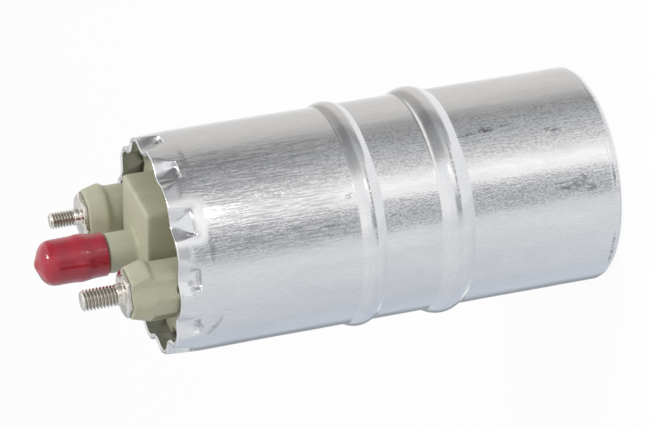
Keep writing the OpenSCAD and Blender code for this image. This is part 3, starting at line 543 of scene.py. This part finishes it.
drawnTube = {
    "bright": (0.84, 0.84, 0.845), "dull": (0.74, 0.742, 0.755), "speck": (0.13, 0.13, 0.14),
    # halo: near white, a painted highlight on the ring round the large dent
    "halo": (0.97, 0.97, 0.97), "wornAndShaded": (0.44, 0.445, 0.46),
    "rough": 0.10, "scuffed": 0.08, "relief": 0.052,
    # noises: stretch along X, Y and Z, scale, detail, roughness, twist
    "streaks": ((1, 1, 0.10), 3.6, 2, 0.6), "lines": ((1, 1, 0.03), 3.4, 2, 0.5),
    "grain": ((1, 1, 0.45), 4.4, 1, 0.6), "crackle": ((1, 1, 0.6), 2.2, 2, 0.65),
    "cloud": ((1, 1, 0.4), 0.10, 3, 0.55, 0.5), "patch": ((1, 1, 1), 0.17, 3, 0.55),
    "fine": ((1, 1, 0.45), 1.5, 4, 0.72), "scratches": ((1, 1, 0.05), 2.6, 3, 0.6),
    # between which levels of its noise each of these sets in
    "toneEdge": (0.36, 0.64), "scuffEdge": (0.40, 0.60), "scratchEdge": (0.55, 0.70),
    "speckEdge": (0.70, 0.745), "speckPatch": (0.47, 0.58), "grainEdge": (0.35, 0.75),
    "crackleEdge": (0.38, 0.56), "streakEdge": (0.38, 0.60),
    # how strongly each of them shows; the scratches show everywhere, and more in the rough strips
    "scratchShare": (0.06, 0.2), "crackleShare": 0.7, "streakShare": 0.85, "haloHighlightShare": 0.9,
    # innerShadeShare: how far the inside face of the sheet is darkened, as painted shade
    "innerShadeShare": 0.75, "speckShare": 0.8, "polishShare": 0.9,
    # painted shade: how much the tone darkens, between these heights, towards the rim
    "rimShade": 0.05, "rimShadeFrom": (20, 100),
    # rough strips along the tube: degrees from +X, half width, and how they fade at their sides
    "wornZones": ((62, 14), (28, 9), (152, 16), (-100, 12), (-160, 9)), "zoneFade": (0.3, 1.6),
    # a strip with long streaks near the large dent, and the heights over which it sets in
    "streaky": (50, 32), "streakyFade": (0.5, 1.4), "streakyFrom": (62, 80),
    # dark marks: height, degrees from +X, length, width, slant, darkness
    "marks": (
        (34.0, 63.2, 8.4, 0.26, -0.105, 0.9), (30.4, 64.2, 3.6, 0.80, 0.0, 1.0),
        (26.6, 64.9, 4.6, 0.20, -0.10, 0.7), (14.5, 57.9, 4.0, 0.60, 0.2, 0.9),
        (14.6, 27.0, 4.4, 1.2, 0.25, 0.8), (10.8, 28.6, 4.6, 1.4, -0.3, 0.7),
        (8.2, 24.8, 3.4, 0.9, 0.2, 0.75), (2.2, -14.0, 0.8, 5.2, 0.0, 0.75),
        (1.9, 29.0, 0.5, 1.8, 0.0, 0.7), (70.5, 27.5, 7.5, 0.30, 0.03, 0.6),
        (67.0, 41.0, 2.4, 0.7, -0.2, 0.45), (101.1, 28.0, 1.3, 3.8, 0.3, 0.45),
        (100.8, -19.0, 3.4, 1.4, -1.6, 0.45), (104.6, -18.3, 2.2, 1.3, 0.0, 0.5),
        (106.3, 7.2, 1.6, 1.5, 0.4, 0.45), (104.9, 11.7, 0.8, 2.2, 0.0, 0.4),
        (102.5, 79.0, 1.6, 2.4, 0.0, 0.35), (41.3, 42.0, 0.6, 9.0, 0.0, 0.6),
        (62.2, 34.0, 0.5, 9.5, 0.0, 0.7)),
    "markFade": (0.4, 1.5), "markRagged": 1.2, "markBroken": (0.41, 0.52),
}


def aluminiumMaterial():
    look = drawnTube
    material, shader = newMaterial("drawnAluminium")
    streaks = shader.noise(*look["streaks"])
    lines = shader.noise(*look["lines"])
    grain = shader.noise(*look["grain"])
    crackle = shader.noise(*look["crackle"])
    cloud = shader.noise(*look["cloud"])
    patch = shader.noise(*look["patch"])
    fine = shader.noise(*look["fine"])
    scratches = shader.noise(*look["scratches"]).band(*look["scratchEdge"])
    halo = shader.attribute("halo")
    innerFace = shader.attribute("inside")
    unpolished = 1 - shader.attribute("polish") * look["polishShare"]
    x, y, z = shader.split(shader.place())
    arc = shader.math("ARCTAN2", y, x) * tube["radius"]

    def arcAt(degrees):
        # millimetres round the tube from this place on it
        return arc - math.radians(degrees) * tube["radius"]

    def strip(degrees, half, fade):
        # 1 along a strip of the tube and 0 beside it
        off = arcAt(degrees) / (math.radians(half) * tube["radius"])
        return 1 - (off * off).band(*fade)

    zone = 0
    for degrees, half in look["wornZones"]:
        zone = strip(degrees, half, look["zoneFade"]).most(zone)
    streaky = strip(*look["streaky"], look["streakyFade"]) * z.band(*look["streakyFrom"]) * unpolished

    scuff = patch.band(*look["scuffEdge"])
    specks = fine.band(*look["speckEdge"]) * patch.band(*look["speckPatch"])
    ragged = (streaks - 0.5) * look["markRagged"]
    broken = fine.band(*look["markBroken"])
    for height, degrees, length, width, slant, dark in look["marks"]:
        along = z - height
        across = arcAt(degrees) - along * slant + ragged
        spread = along * along / (length / 2) ** 2 + across * across / width ** 2
        specks = specks.most((1 - spread.band(*look["markFade"])) * dark * broken)

    # colour: a streaked tone, with painted shade that darkens it a little towards the rim, and the marks
    # over it
    tone = streaks * 0.4 + grain * 0.25 + cloud * 0.35
    tone = tone - z.band(*look["rimShadeFrom"]) * look["rimShade"]
    everywhere, more = look["scratchShare"]
    scratched = scratches * scuff * unpolished * (everywhere + more * zone)
    crackled = zone * unpolished * (1 - (crackle * 0.7 + lines * 0.3).band(*look["crackleEdge"]))
    streaked = streaky * (1 - (streaks * 0.5 + lines * 0.5).band(*look["streakEdge"]))
    colour = shader.mix(tone.band(*look["toneEdge"]), look["dull"], look["bright"])
    colour = shader.mix(scratched, colour, look["speck"])
    colour = shader.mix(crackled * look["crackleShare"], colour, look["wornAndShaded"])
    colour = shader.mix(streaked * look["streakShare"], colour, look["wornAndShaded"])
    # painted highlight: the ring round the large dent turned near white
    colour = shader.mix(halo * look["haloHighlightShare"], colour, look["halo"])
    # painted shade: the inside face of the sheet, seen in the recess, darkened to the tone of the worn
    # strips
    colour = shader.mix(innerFace * look["innerShadeShare"], colour, look["wornAndShaded"])
    colour = shader.mix(specks * look["speckShare"], colour, look["speck"])

    scuffs = grain.band(*look["grainEdge"]) * 0.5 + scuff * 0.35
    roughness = look["rough"] + look["scuffed"] * scuffs + specks * 0.2 + halo * 0.32 + innerFace * 0.3

    # height: the marks of drawing, deeper where the sheet is scuffed and in the rough strips
    drawn = streaks * (0.4 + 0.6 * scuff) + grain * (0.25 + 0.45 * scuff) + lines * 0.25
    height = drawn * (0.22 + 0.4 * zone) + crackle * zone * 1.6 + (streaks + lines) * streaky * 0.5
    height = height * unpolished + cloud * 1.5 - specks * 0.2
    finishMaterial(shader, {
        "Base Color": colour, "Metallic": 1.0, "Roughness": roughness,
        "Normal": shader.bump(height, look["relief"])})
    return material


makeHousing(aluminiumMaterial())


print("scene: end cap")
cap = {
    "voxel": 0.33,
    # the edges are rounded above the first height, and fully so from the second more on
    "smoothFrom": (104.4, 1.0), "smoothSteps": 14, "smoothShare": 0.5,
    "clearance": 0.08, "clearAbove": 100,  # to the sheet, above this height
    "pale": (0.500, 0.495, 0.365), "shade": (0.440, 0.440, 0.315), "fleck": (0.20, 0.19, 0.12),
    "thin": (0.52, 0.525, 0.45), "rough": 0.42, "relief": 0.02,
    "toneEdge": (0.3, 0.7), "fleckEdge": (0.74, 0.78), "fleckShare": 0.5,
    # the nipple, painted paler for the light that its thin nylon lets through: distance from the axis,
    # height, and by how much
    "thinWithin": (5.2, 7.0), "thinAbove": (112.8, 115.5), "thinShare": 0.25,
    # noises: stretch along X, Y and Z, scale, detail, roughness, twist
    "flow": ((1, 1, 0.5), 0.25, 3, 0.5, 0.6), "cloud": ((1, 1, 1), 0.9, 4, 0.6),
    "grit": ((1, 1, 1), 6.0, 3, 0.6), "fibre": ((1, 0.3, 1), 3.5, 3, 0.6),
    "flecks": ((1, 1, 1), 1.6, 2, 0.6),
    "subsurface": {"Subsurface Weight": 0.12, "Subsurface Radius": (0.9, 0.9, 0.6),
                   "Subsurface Scale": 0.0012, "IOR": 1.53},
}


def nylonMaterial():
    material, shader = newMaterial("paleNylon")
    flow = shader.noise(*cap["flow"])
    cloud = shader.noise(*cap["cloud"])
    grit = shader.noise(*cap["grit"])
    fibre = shader.noise(*cap["fibre"])
    flecks = shader.noise(*cap["flecks"]).band(*cap["fleckEdge"])
    x, y, z = shader.split(shader.place())
    fromAxis = (x ** 2 + y ** 2) ** 0.5
    thin = (1 - fromAxis.band(*cap["thinWithin"])) * z.band(*cap["thinAbove"])
    colour = shader.mix((flow * 0.6 + cloud * 0.4).band(*cap["toneEdge"]), cap["shade"], cap["pale"])
    # painted light: the nipple paler where its thin nylon lets light through
    colour = shader.mix(thin * cap["thinShare"], colour, cap["thin"])
    colour = shader.mix(flecks * cap["fleckShare"], colour, cap["fleck"])
    finishMaterial(shader, {
        "Base Color": colour, "Roughness": cap["rough"] + 0.12 * cloud, **cap["subsurface"],
        "Normal": shader.bump(grit * 0.4 + fibre * 0.6 + flow * 2.0, cap["relief"], 0.5)})
    return material


def applyModifiers(piece):
    bpy.context.view_layer.update()
    graph = bpy.context.evaluated_depsgraph_get()
    piece.data = bpy.data.meshes.new_from_object(piece.evaluated_get(graph))
    piece.modifiers.clear()


def pointsOf(mesh):
    flat = np.empty(len(mesh.vertices) * 3, np.float32)
    mesh.vertices.foreach_get("co", flat)
    return flat.reshape(-1, 3).astype(float) / mm


def makeEndCap(material):
    piece = bpy.data.objects.new("capMoulding", nodes["end_cap"].data.copy())
    studio.collection.objects.link(piece)
    remesh = piece.modifiers.new("even", "REMESH")
    remesh.mode = "VOXEL"
    remesh.voxel_size = cap["voxel"] * mm
    applyModifiers(piece)
    share = np.round(smoothStep(pointsOf(piece.data)[:, 2], *cap["smoothFrom"]), 1)
    group = piece.vertex_groups.new(name="soft")
    for level in np.unique(share[share > 0]):
        group.add(np.nonzero(share == level)[0].tolist(), float(level), "REPLACE")
    smooth = piece.modifiers.new("soften", "SMOOTH")
    smooth.factor = cap["smoothShare"]
    smooth.iterations = cap["smoothSteps"]
    smooth.vertex_group = "soft"
    applyModifiers(piece)
    # the dressed sheet has deeper dents than the solid, so the moulding is drawn in clear of them
    at = pointsOf(piece.data)
    radius, turn = np.hypot(at[:, 0], at[:, 1]), np.arctan2(at[:, 1], at[:, 0])
    limit = sheetRadius(at[:, 2], turn, tube["wall"]) - cap["clearance"]
    tight = (radius > limit) & (at[:, 2] > cap["clearAbove"])
    at[tight, :2] *= (limit[tight] / radius[tight])[:, None]
    piece.data.vertices.foreach_set("co", (at * mm).astype(np.float32).ravel())
    piece.data.shade_smooth()
    piece.data.materials.clear()
    piece.data.materials.append(material)
    piece.data.update()
    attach(piece, "pump")
    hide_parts("end_cap")


nylon = nylonMaterial()
makeEndCap(nylon)


print("scene: protective cap")
vinyl = {
    "red": (0.43, 0.012, 0.034), "deep": (0.35, 0.007, 0.024), "relief": 0.28,
    "rough": 0.22, "dipRough": 0.14,  # roughness, and what the dips add to it
    "toneEdge": (0.3, 0.7), "dipEdge": (0.3, 0.7), "peelShare": 0.03,
    # noises: stretch along X, Y and Z, scale, detail, roughness
    "cloud": ((1, 1, 1), 0.35, 3, 0.5), "dips": ((1, 1, 0.6), 0.55, 2, 0.5),
    "peel": ((1, 1, 1), 3.0, 1, 0.5),
    "shine": {"IOR": 1.45, "Specular IOR Level": 0.3, "Coat Weight": 0.9, "Coat Roughness": 0.04,
              "Subsurface Weight": 0.1, "Subsurface Radius": (1.0, 0.25, 0.2),
              "Subsurface Scale": 0.001},
    "columns": 128, "rowsPerPoint": 4, "smoothing": (1, 2, 3, 2, 1),
    # outer radius and height, from the mouth to the nib
    "line": ((4.95, 119.9), (5.08, 119.97), (5.15, 120.2), (5.15, 121.2), (5.16, 122.4), (5.28, 123.4),
             (5.50, 124.3), (5.58, 125.0), (5.60, 125.7), (5.56, 126.4), (5.44, 127.3), (5.38, 128.4),
             (5.36, 130.0), (5.38, 131.6), (5.36, 132.5), (5.22, 133.2), (4.92, 133.9), (4.45, 134.5),
             (3.9, 134.95), (3.3, 135.3), (2.7, 135.6), (2.1, 135.85), (1.55, 136.1), (1.05, 136.35),
             (0.62, 136.52), (0.3, 136.58), (0.1, 136.6)),
    # radius and height inside, from the blind end to the mouth
    "bore": ((0.1, 132.1), (2.4, 132.05), (3.9, 131.8), (4.2, 131.3), (4.2, 126.0), (4.2, 120.3),
             (4.3, 119.9)),
    # the swell over the nipple's barb: height, tilt, where the tilt starts, half height
    "swell": (125.4, 0.5, 0.8, 1.5),
    "wrinkles": ((0.05, 7, 1.1, 0.0), (0.04, 4, -0.7, 1.0)),
    "flats": (0.05, 1.5),  # depth, and half the number round the swell
}


def vinylMaterial():
    material, shader = newMaterial("redVinyl")
    cloud, dips, peel = [shader.noise(*vinyl[name]) for name in ("cloud", "dips", "peel")]
    finishMaterial(shader, {
        "Base Color": shader.mix(cloud.band(*vinyl["toneEdge"]), vinyl["deep"], vinyl["red"]),
        "Roughness": vinyl["rough"] + vinyl["dipRough"] * dips.band(*vinyl["dipEdge"]), **vinyl["shine"],
        "Normal": shader.bump(dips + peel * vinyl["peelShare"], vinyl["relief"], 0.8)})
    return material


def makeVinylCap(material):
    line = np.array(vinyl["line"])
    share = np.linspace(0, len(line) - 1, vinyl["rowsPerPoint"] * len(line))
    kernel = np.array(vinyl["smoothing"]) / sum(vinyl["smoothing"])
    drop = len(kernel) // 2
    radius, height = [np.interp(share, np.arange(len(line)), line[:, side]) for side in (0, 1)]
    for values in (radius, height):
        values[drop:-drop] = np.convolve(values, kernel, "valid")
    turns, heights = np.meshgrid(turnsOf(vinyl["columns"]), height)
    middle, tilt, start, half = vinyl["swell"]
    deep, count = vinyl["flats"]
    swell = np.exp(-((heights - middle - tilt * np.sin(turns - start)) / half) ** 2)
    folds = waves(vinyl["wrinkles"], turns, heights) - deep * np.abs(np.sin(count * turns))
    outer = roundRows(radius[:, None] + swell * folds, height, vinyl["columns"])
    inner = roundRows(*zip(*vinyl["bore"]), vinyl["columns"])
    rows = np.concatenate([inner, outer])
    makePiece("vinylCap", rows.reshape(-1, 3), rodFaces(len(rows), vinyl["columns"]), material,
              "red_cap", ["protective_cap"], sharpAngle=60)


makeVinylCap(vinylMaterial())


print("scene: terminal studs")
# place on X, radii of the thread, its pitch, the height of the tip and the turn of the hex in degrees
studs = {
    "terminal_stud_m5": {"at": 17.7, "major": 2.5, "minor": 1.98, "pitch": 0.8, "tip": 130.5,
                         "turn": 23, "material": "brightNickelM5"},
    "terminal_stud_m4": {"at": -17.7, "major": 2.0, "minor": 1.56, "pitch": 0.7, "tip": 128.2,
                         "turn": 21, "material": "brightNickelM4"},
}
studForm = {
    "columns": 120, "centre": 0.05,
    "foot": 96.6, "footTop": 97.2, "footFlange": 0.5, "footRound": 0.1, "step": 0.02, "neck": 108.0,
    # the hex: width over its flats, heights, bevel, and the cone that turns its corners off
    "flats": 10.0, "seat": 119.8, "hexTop": 120.9, "bevel": 0.12, "cone": 0.55, "faceIn": 0.15,
    "faceRise": 0.015, "hexRows": (0.25, 0.45, 0.6, 0.75, 0.9, 1.0),
    # the thread: fillet, plain length, how it runs out, clearance, and the flats of crest and root
    "fillet": 0.25, "plain": 1.1, "runOut": 0.8, "chamfer": 0.6, "rowsPerTurn": 14, "under": 0.03,
    "crest": 0.14, "flank": 0.62, "threadFrom": 0.4,
    # the tip's corner: inward and down
    "tipLine": ((0.06, 0.0), (0.5, 0.05)),
    "bright": (0.82, 0.79, 0.73), "dull": (0.70, 0.665, 0.60), "studShade": (0.30, 0.27, 0.22),
    "rough": 0.10, "relief": 0.008, "toneEdge": (0.35, 0.65),
    "fine": ((1, 1, 2), 4.0, 3, 0.6), "stain": ((1, 1, 1), 1.1, 3, 0.6),
    # painted shade in the thread's root, over the root and under the crest, past the plain length and
    # short of the tip, and round the hex's foot
    "rootEdge": (0.03, 0.12), "rootFrom": (-0.1, 0.4), "rootTo": (-0.6, -0.3), "rootShare": 0.6,
    "seatEdge": (0.1, 0.5), "seatShare": 0.45,
}


def threadDepth(z, turn, stud):
    # 0 on the crest and 1 at the root, with narrow flats on both
    phase = ((z - studForm["hexTop"]) / stud["pitch"] - turn / (2 * math.pi)) % 1
    return np.clip((np.abs(phase - 0.5) * 2 - studForm["crest"]) / studForm["flank"], 0, 1)


def studFoot(major, form):
    flange, rounded = major + form["footFlange"], form["footRound"]
    return [(form["centre"], form["foot"]), (flange - rounded, form["foot"]),
            (flange, form["foot"] + rounded), (flange, form["footTop"] - rounded),
            (flange - rounded, form["footTop"]), (major, form["footTop"] + form["step"]),
            (major, form["neck"]), (major, form["seat"] - form["step"])]


def studHex(stud, turn, form):
    flat = (np.degrees(turn) - stud["turn"] + 30) % 60 - 30
    apothem, bevel, seat = form["flats"] / 2, form["bevel"], form["seat"]
    hexagon, corner = apothem / np.cos(np.radians(flat)), apothem / math.cos(math.radians(30))
    rows = [(hexagon - 2 * bevel, seat), (hexagon, seat + bevel)]
    for share in form["hexRows"]:
        z = seat + bevel + share * (form["hexTop"] - seat - bevel)
        cone = corner - max(0, z - seat - form["cone"]) * (corner - apothem + bevel) / form["cone"]
        rows.append((np.minimum(hexagon, cone), z))
    face = np.minimum(hexagon, apothem - bevel) - form["faceIn"]
    return rows + [(face, form["hexTop"] + form["faceRise"])]


def studThread(stud, turn, form):
    major, tip, fillet, foot = stud["major"], stud["tip"], form["fillet"], form["hexTop"]
    rows = [(major + fillet * (1 - math.sin(a)), foot + fillet * (1 - math.cos(a)))
            for a in np.radians((0, 30, 60, 90))]
    for z in np.arange(foot + form["threadFrom"], tip - 0.01, stud["pitch"] / form["rowsPerTurn"]):
        start = smoothStep(z - foot, form["plain"], form["runOut"])
        cut = (major - stud["minor"]) * threadDepth(z, turn, stud) * start
        chamfer = major - form["chamfer"] + tip - z
        rows.append((np.minimum(major - form["under"] - cut, chamfer), z))
    rows += [(major - form["chamfer"] - inward, tip - down) for inward, down in form["tipLine"]]
    return rows + [(form["centre"], tip - form["tipLine"][-1][1])]


def makeStud(node, stud, material):
    turn = turnsOf(studForm["columns"])
    rows = (studFoot(stud["major"], studForm) + studHex(stud, turn, studForm)
            + studThread(stud, turn, studForm))
    radii = [np.broadcast_to(radius, turn.shape) for radius, z in rows]
    grid = roundRows(radii, [z for radius, z in rows], len(turn), (stud["at"], 0))
    makePiece(node + "Turned", grid.reshape(-1, 3), rodFaces(len(rows), len(turn)), material,
              "pump", [node], sharpAngle=28)


def nickelMaterial(stud):
    form = studForm
    material, shader = newMaterial(stud["material"])
    fine = shader.noise(*form["fine"])
    stain = shader.noise(*form["stain"])
    x, y, z = shader.split(shader.place())
    fromAxis = ((x - stud["at"]) ** 2 + y ** 2) ** 0.5
    over, under = form["rootEdge"]
    start = form["hexTop"] + form["plain"]
    root = 1 - fromAxis.band(stud["minor"] + over, stud["major"] - under)
    root = root * z.band(*[start + edge for edge in form["rootFrom"]])
    root = root * (1 - z.band(*[stud["tip"] + edge for edge in form["rootTo"]]))
    seat = 1 - z.band(*[form["seat"] + edge for edge in form["seatEdge"]])
    # painted shade in the thread's grooves and under the hex
    paintedShade = (root * form["rootShare"]).most(seat * form["seatShare"])
    colour = shader.mix(stain.band(*form["toneEdge"]), form["bright"], form["dull"])
    colour = shader.mix(paintedShade, colour, form["studShade"])
    finishMaterial(shader, {
        "Base Color": colour, "Metallic": 1.0, "Roughness": form["rough"] + 0.10 * fine + 0.2 * root,
        "Normal": shader.bump(fine * 0.5 + stain * 0.5, form["relief"], 0.5)})
    return material


for node, stud in studs.items():
    makeStud(node, stud, nickelMaterial(stud))


print("scene: inner finishes")
# light and dark tone, metal or not, roughness, the marks that it carries, their scale and depth
finishes = {
    "cast_aluminium": ((0.66, 0.66, 0.67), (0.52, 0.52, 0.54), 1, 0.38, "turned", 2.2, 0.03),
    "seal_rubber": ((0.045, 0.045, 0.048), (0.025, 0.025, 0.027), 0, 0.62, "grain", 3.0, 0.02),
    "screen_steel": ((0.60, 0.60, 0.60), (0.40, 0.40, 0.41), 1, 0.30, "woven", 5.98, 0.05),
    "sintered_steel": ((0.36, 0.36, 0.37), (0.24, 0.24, 0.25), 1, 0.44, "grain", 4.5, 0.02),
    "screw_steel": ((0.42, 0.42, 0.45), (0.26, 0.26, 0.29), 1, 0.32, "turned", 3.0, 0.02),
    "ball_steel": ((0.74, 0.74, 0.76), (0.66, 0.66, 0.68), 1, 0.10, "grain", 0.8, 0.004),
    "spring_steel": ((0.58, 0.60, 0.63), (0.42, 0.44, 0.47), 1, 0.24, "drawn", 4.0, 0.01),
    "brass": ((0.78, 0.60, 0.27), (0.62, 0.45, 0.19), 1, 0.30, "turned", 3.2, 0.02),
    "bronze": ((0.54, 0.36, 0.19), (0.38, 0.25, 0.13), 1, 0.42, "grain", 5.0, 0.02),
    "coupling_plastic": ((0.78, 0.76, 0.69), (0.68, 0.66, 0.58), 0, 0.46, "grain", 1.2, 0.02),
    "flux_steel": ((0.48, 0.49, 0.50), (0.34, 0.35, 0.37), 1, 0.40, "drawn", 1.6, 0.03),
    "ferrite": ((0.12, 0.12, 0.13), (0.07, 0.07, 0.08), 0, 0.55, "grain", 2.6, 0.03),
    "shaft_steel": ((0.68, 0.68, 0.70), (0.58, 0.58, 0.60), 1, 0.16, "turned", 6.0, 0.006),
    "core_steel": ((0.40, 0.40, 0.42), (0.25, 0.24, 0.24), 1, 0.36, "stacked", 2.0, 0.06),
    "enamelled_copper": ((0.50, 0.20, 0.08), (0.34, 0.11, 0.04), 0, 0.28, "drawn", 3.2, 0.05),
    "insulator_paper": ((0.38, 0.47, 0.38), (0.30, 0.38, 0.30), 0, 0.72, "grain", 3.4, 0.03),
    "moulded_resin": ((0.17, 0.10, 0.06), (0.11, 0.065, 0.04), 0, 0.36, "grain", 1.5, 0.02),
    "bar_copper": ((0.80, 0.44, 0.28), (0.60, 0.31, 0.19), 1, 0.28, "turned", 5.0, 0.02),
    "brush_carbon": ((0.065, 0.065, 0.07), (0.035, 0.035, 0.04), 0, 0.50, "grain", 6.0, 0.02),
}
# what all of them share
innerWear = {"noise": ((1, 1, 1), 0.35, 3, 0.55), "toneEdge": (0.25, 0.75), "rough": 0.12, "bump": 0.7}


def innerMaterial(name, light, dark, metal, rough, marks, scale, relief):
    material, shader = newMaterial(name)
    wear = shader.noise(*innerWear["noise"])
    fine = shader.noise((1, 1, 1), scale, 4, 0.6)
    x, y, z = shader.split(shader.place())
    if marks == "turned":  # rings round the pump's axis
        fromAxis = shader.node("ShaderNodeVectorMath", {"operation": "LENGTH"},
                               {0: shader.place((1, 1, 0))}, "Value")
        pattern = (fromAxis * (scale * 2 * math.pi) + wear * 3).sine() * 0.3 + fine * 0.5
    elif marks == "drawn":  # lines along it
        pattern = shader.noise((1, 1, 0.06), scale, 4, 0.6)
    elif marks == "stacked":  # thin sheets, one on the other
        pattern = shader.math("PINGPONG", z * scale, 0.5) * 1.2 + fine * 0.3
    elif marks == "woven":  # wires that cross
        pattern = (x * scale * 4).sine() * (y * scale * 4).sine() * 0.5 + fine * 0.3
    else:  # plain grain
        pattern = fine
    share = (wear * 0.6 + pattern * 0.4).band(*innerWear["toneEdge"])
    finishMaterial(shader, {
        "Base Color": shader.mix(share, light, dark), "Metallic": metal,
        "Roughness": rough + innerWear["rough"] * wear,
        "Normal": shader.bump(pattern, relief, innerWear["bump"])})
    return material


inner = {slot: innerMaterial(slot.replace("_", "") + "Finish", *look) for slot, look in finishes.items()}
inner["cap_nylon"] = nylon


print("scene: springs and leads")
# centre, radius of the coil, foot and top of it, turns, wire, and how it shortens with its joint
coils = {
    "check_valve_spring": {"at": (0, 0), "r": 3.1, "z": (105, 110), "turns": 4, "wire": 0.5,
                           "joint": "check_valve_lift", "fixed": 110, "keep": 0.6},
    "relief_spring": {"at": (0, -18.2), "r": 1.6, "z": (3, 7.54), "turns": 3, "wire": 0.5,
                      "joint": "relief_valve_lift", "fixed": 3, "keep": 0.736},
    "brush_spring_positive": {"at": (9.2, 0), "r": 1.85, "z": (91.5, 97.2), "turns": 5, "wire": 0.4,
                              "joint": "positive_brush_slide", "fixed": 97.2, "keep": 0.737},
    "brush_spring_negative": {"at": (-9.2, 0), "r": 1.85, "z": (91.5, 97.2), "turns": 5, "wire": 0.4,
                              "joint": "negative_brush_slide", "fixed": 97.2, "keep": 0.737},
}
# each lead runs up inside its brush's spring
leads = {"brush_lead_positive": "brush_spring_positive", "brush_lead_negative": "brush_spring_negative"}
wireForm = {
    "sides": 12, "askew": (0.13, 0.21, 0.97),  # a direction that no wire here runs along
    "stepsPerTurn": 40, "closed": 0.06,  # the share of a coil that lies flat at each end
    "slimmed": 0.98, "inset": 0.02,  # so that a wire stays inside its solid
    "leadSlack": 0.6, "leadThickness": 0.84, "leadSteps": 40, "leadInset": 0.03,
}


def wireTube(line, thickness):
    # a round wire along a line of points, closed at both ends
    along = np.gradient(line, axis=0)
    along /= np.linalg.norm(along, axis=1)[:, None]
    side = np.cross(along, wireForm["askew"])
    side /= np.linalg.norm(side, axis=1)[:, None]
    for i in range(1, len(line)):
        s = side[i - 1] - along[i] * (side[i - 1] @ along[i])
        side[i] = s / np.linalg.norm(s)
    other = np.cross(along, side)
    turn = turnsOf(wireForm["sides"])[None, :, None]
    ring = np.cos(turn) * side[:, None] + np.sin(turn) * other[:, None]
    return (line[:, None] + thickness / 2 * ring).reshape(-1, 3), rodFaces(len(line), turn.size)


def wirePiece(node, line, thickness, slot):
    points, faces = wireTube(line, thickness)
    piece = makePiece(node + "Wire", points, faces, inner[slot], "pump", [node], sharpAngle=50)
    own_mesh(piece)


def makeCoil(node, coil):
    (x, y), (low, high), closed = coil["at"], coil["z"], wireForm["closed"]
    wire = coil["wire"] * wireForm["slimmed"]
    t = np.linspace(0, 1, coil["turns"] * wireForm["stepsPerTurn"] + 1)
    turn = t * coil["turns"] * 2 * math.pi
    climb = np.clip((t - closed) / (1 - 2 * closed), 0, 1)
    lay = low + wire / 2 + wireForm["inset"] + (high - low - wire - 2 * wireForm["inset"]) * climb
    line = np.stack([x + coil["r"] * np.cos(turn), y + coil["r"] * np.sin(turn), lay], -1)
    wirePiece(node, line, wire, "spring_steel")


def makeLead(node, coil):
    (x, y), (low, high) = coil["at"], coil["z"]
    t = np.linspace(0, 1, wireForm["leadSteps"] + 1)
    sway = -wireForm["leadSlack"] / 2 * np.cos(2 * math.pi * t)
    rise = low + wireForm["leadInset"] + (high - low - 2 * wireForm["leadInset"]) * t
    line = np.stack([np.full_like(t, x), y + sway, rise], -1)
    wirePiece(node, line, wireForm["leadThickness"], "bar_copper")


for node, coil in coils.items():
    makeCoil(node, coil)
for node, spring in leads.items():
    makeLead(node, coils[spring])


print("scene: inner pieces")
for row in frame["record"]["subparts"]:
    node = nodes[row["node"]]
    if row["material_slot"] in inner and not node.hide_render:
        node.data.materials.clear()
        node.data.materials.append(inner[row["material_slot"]])
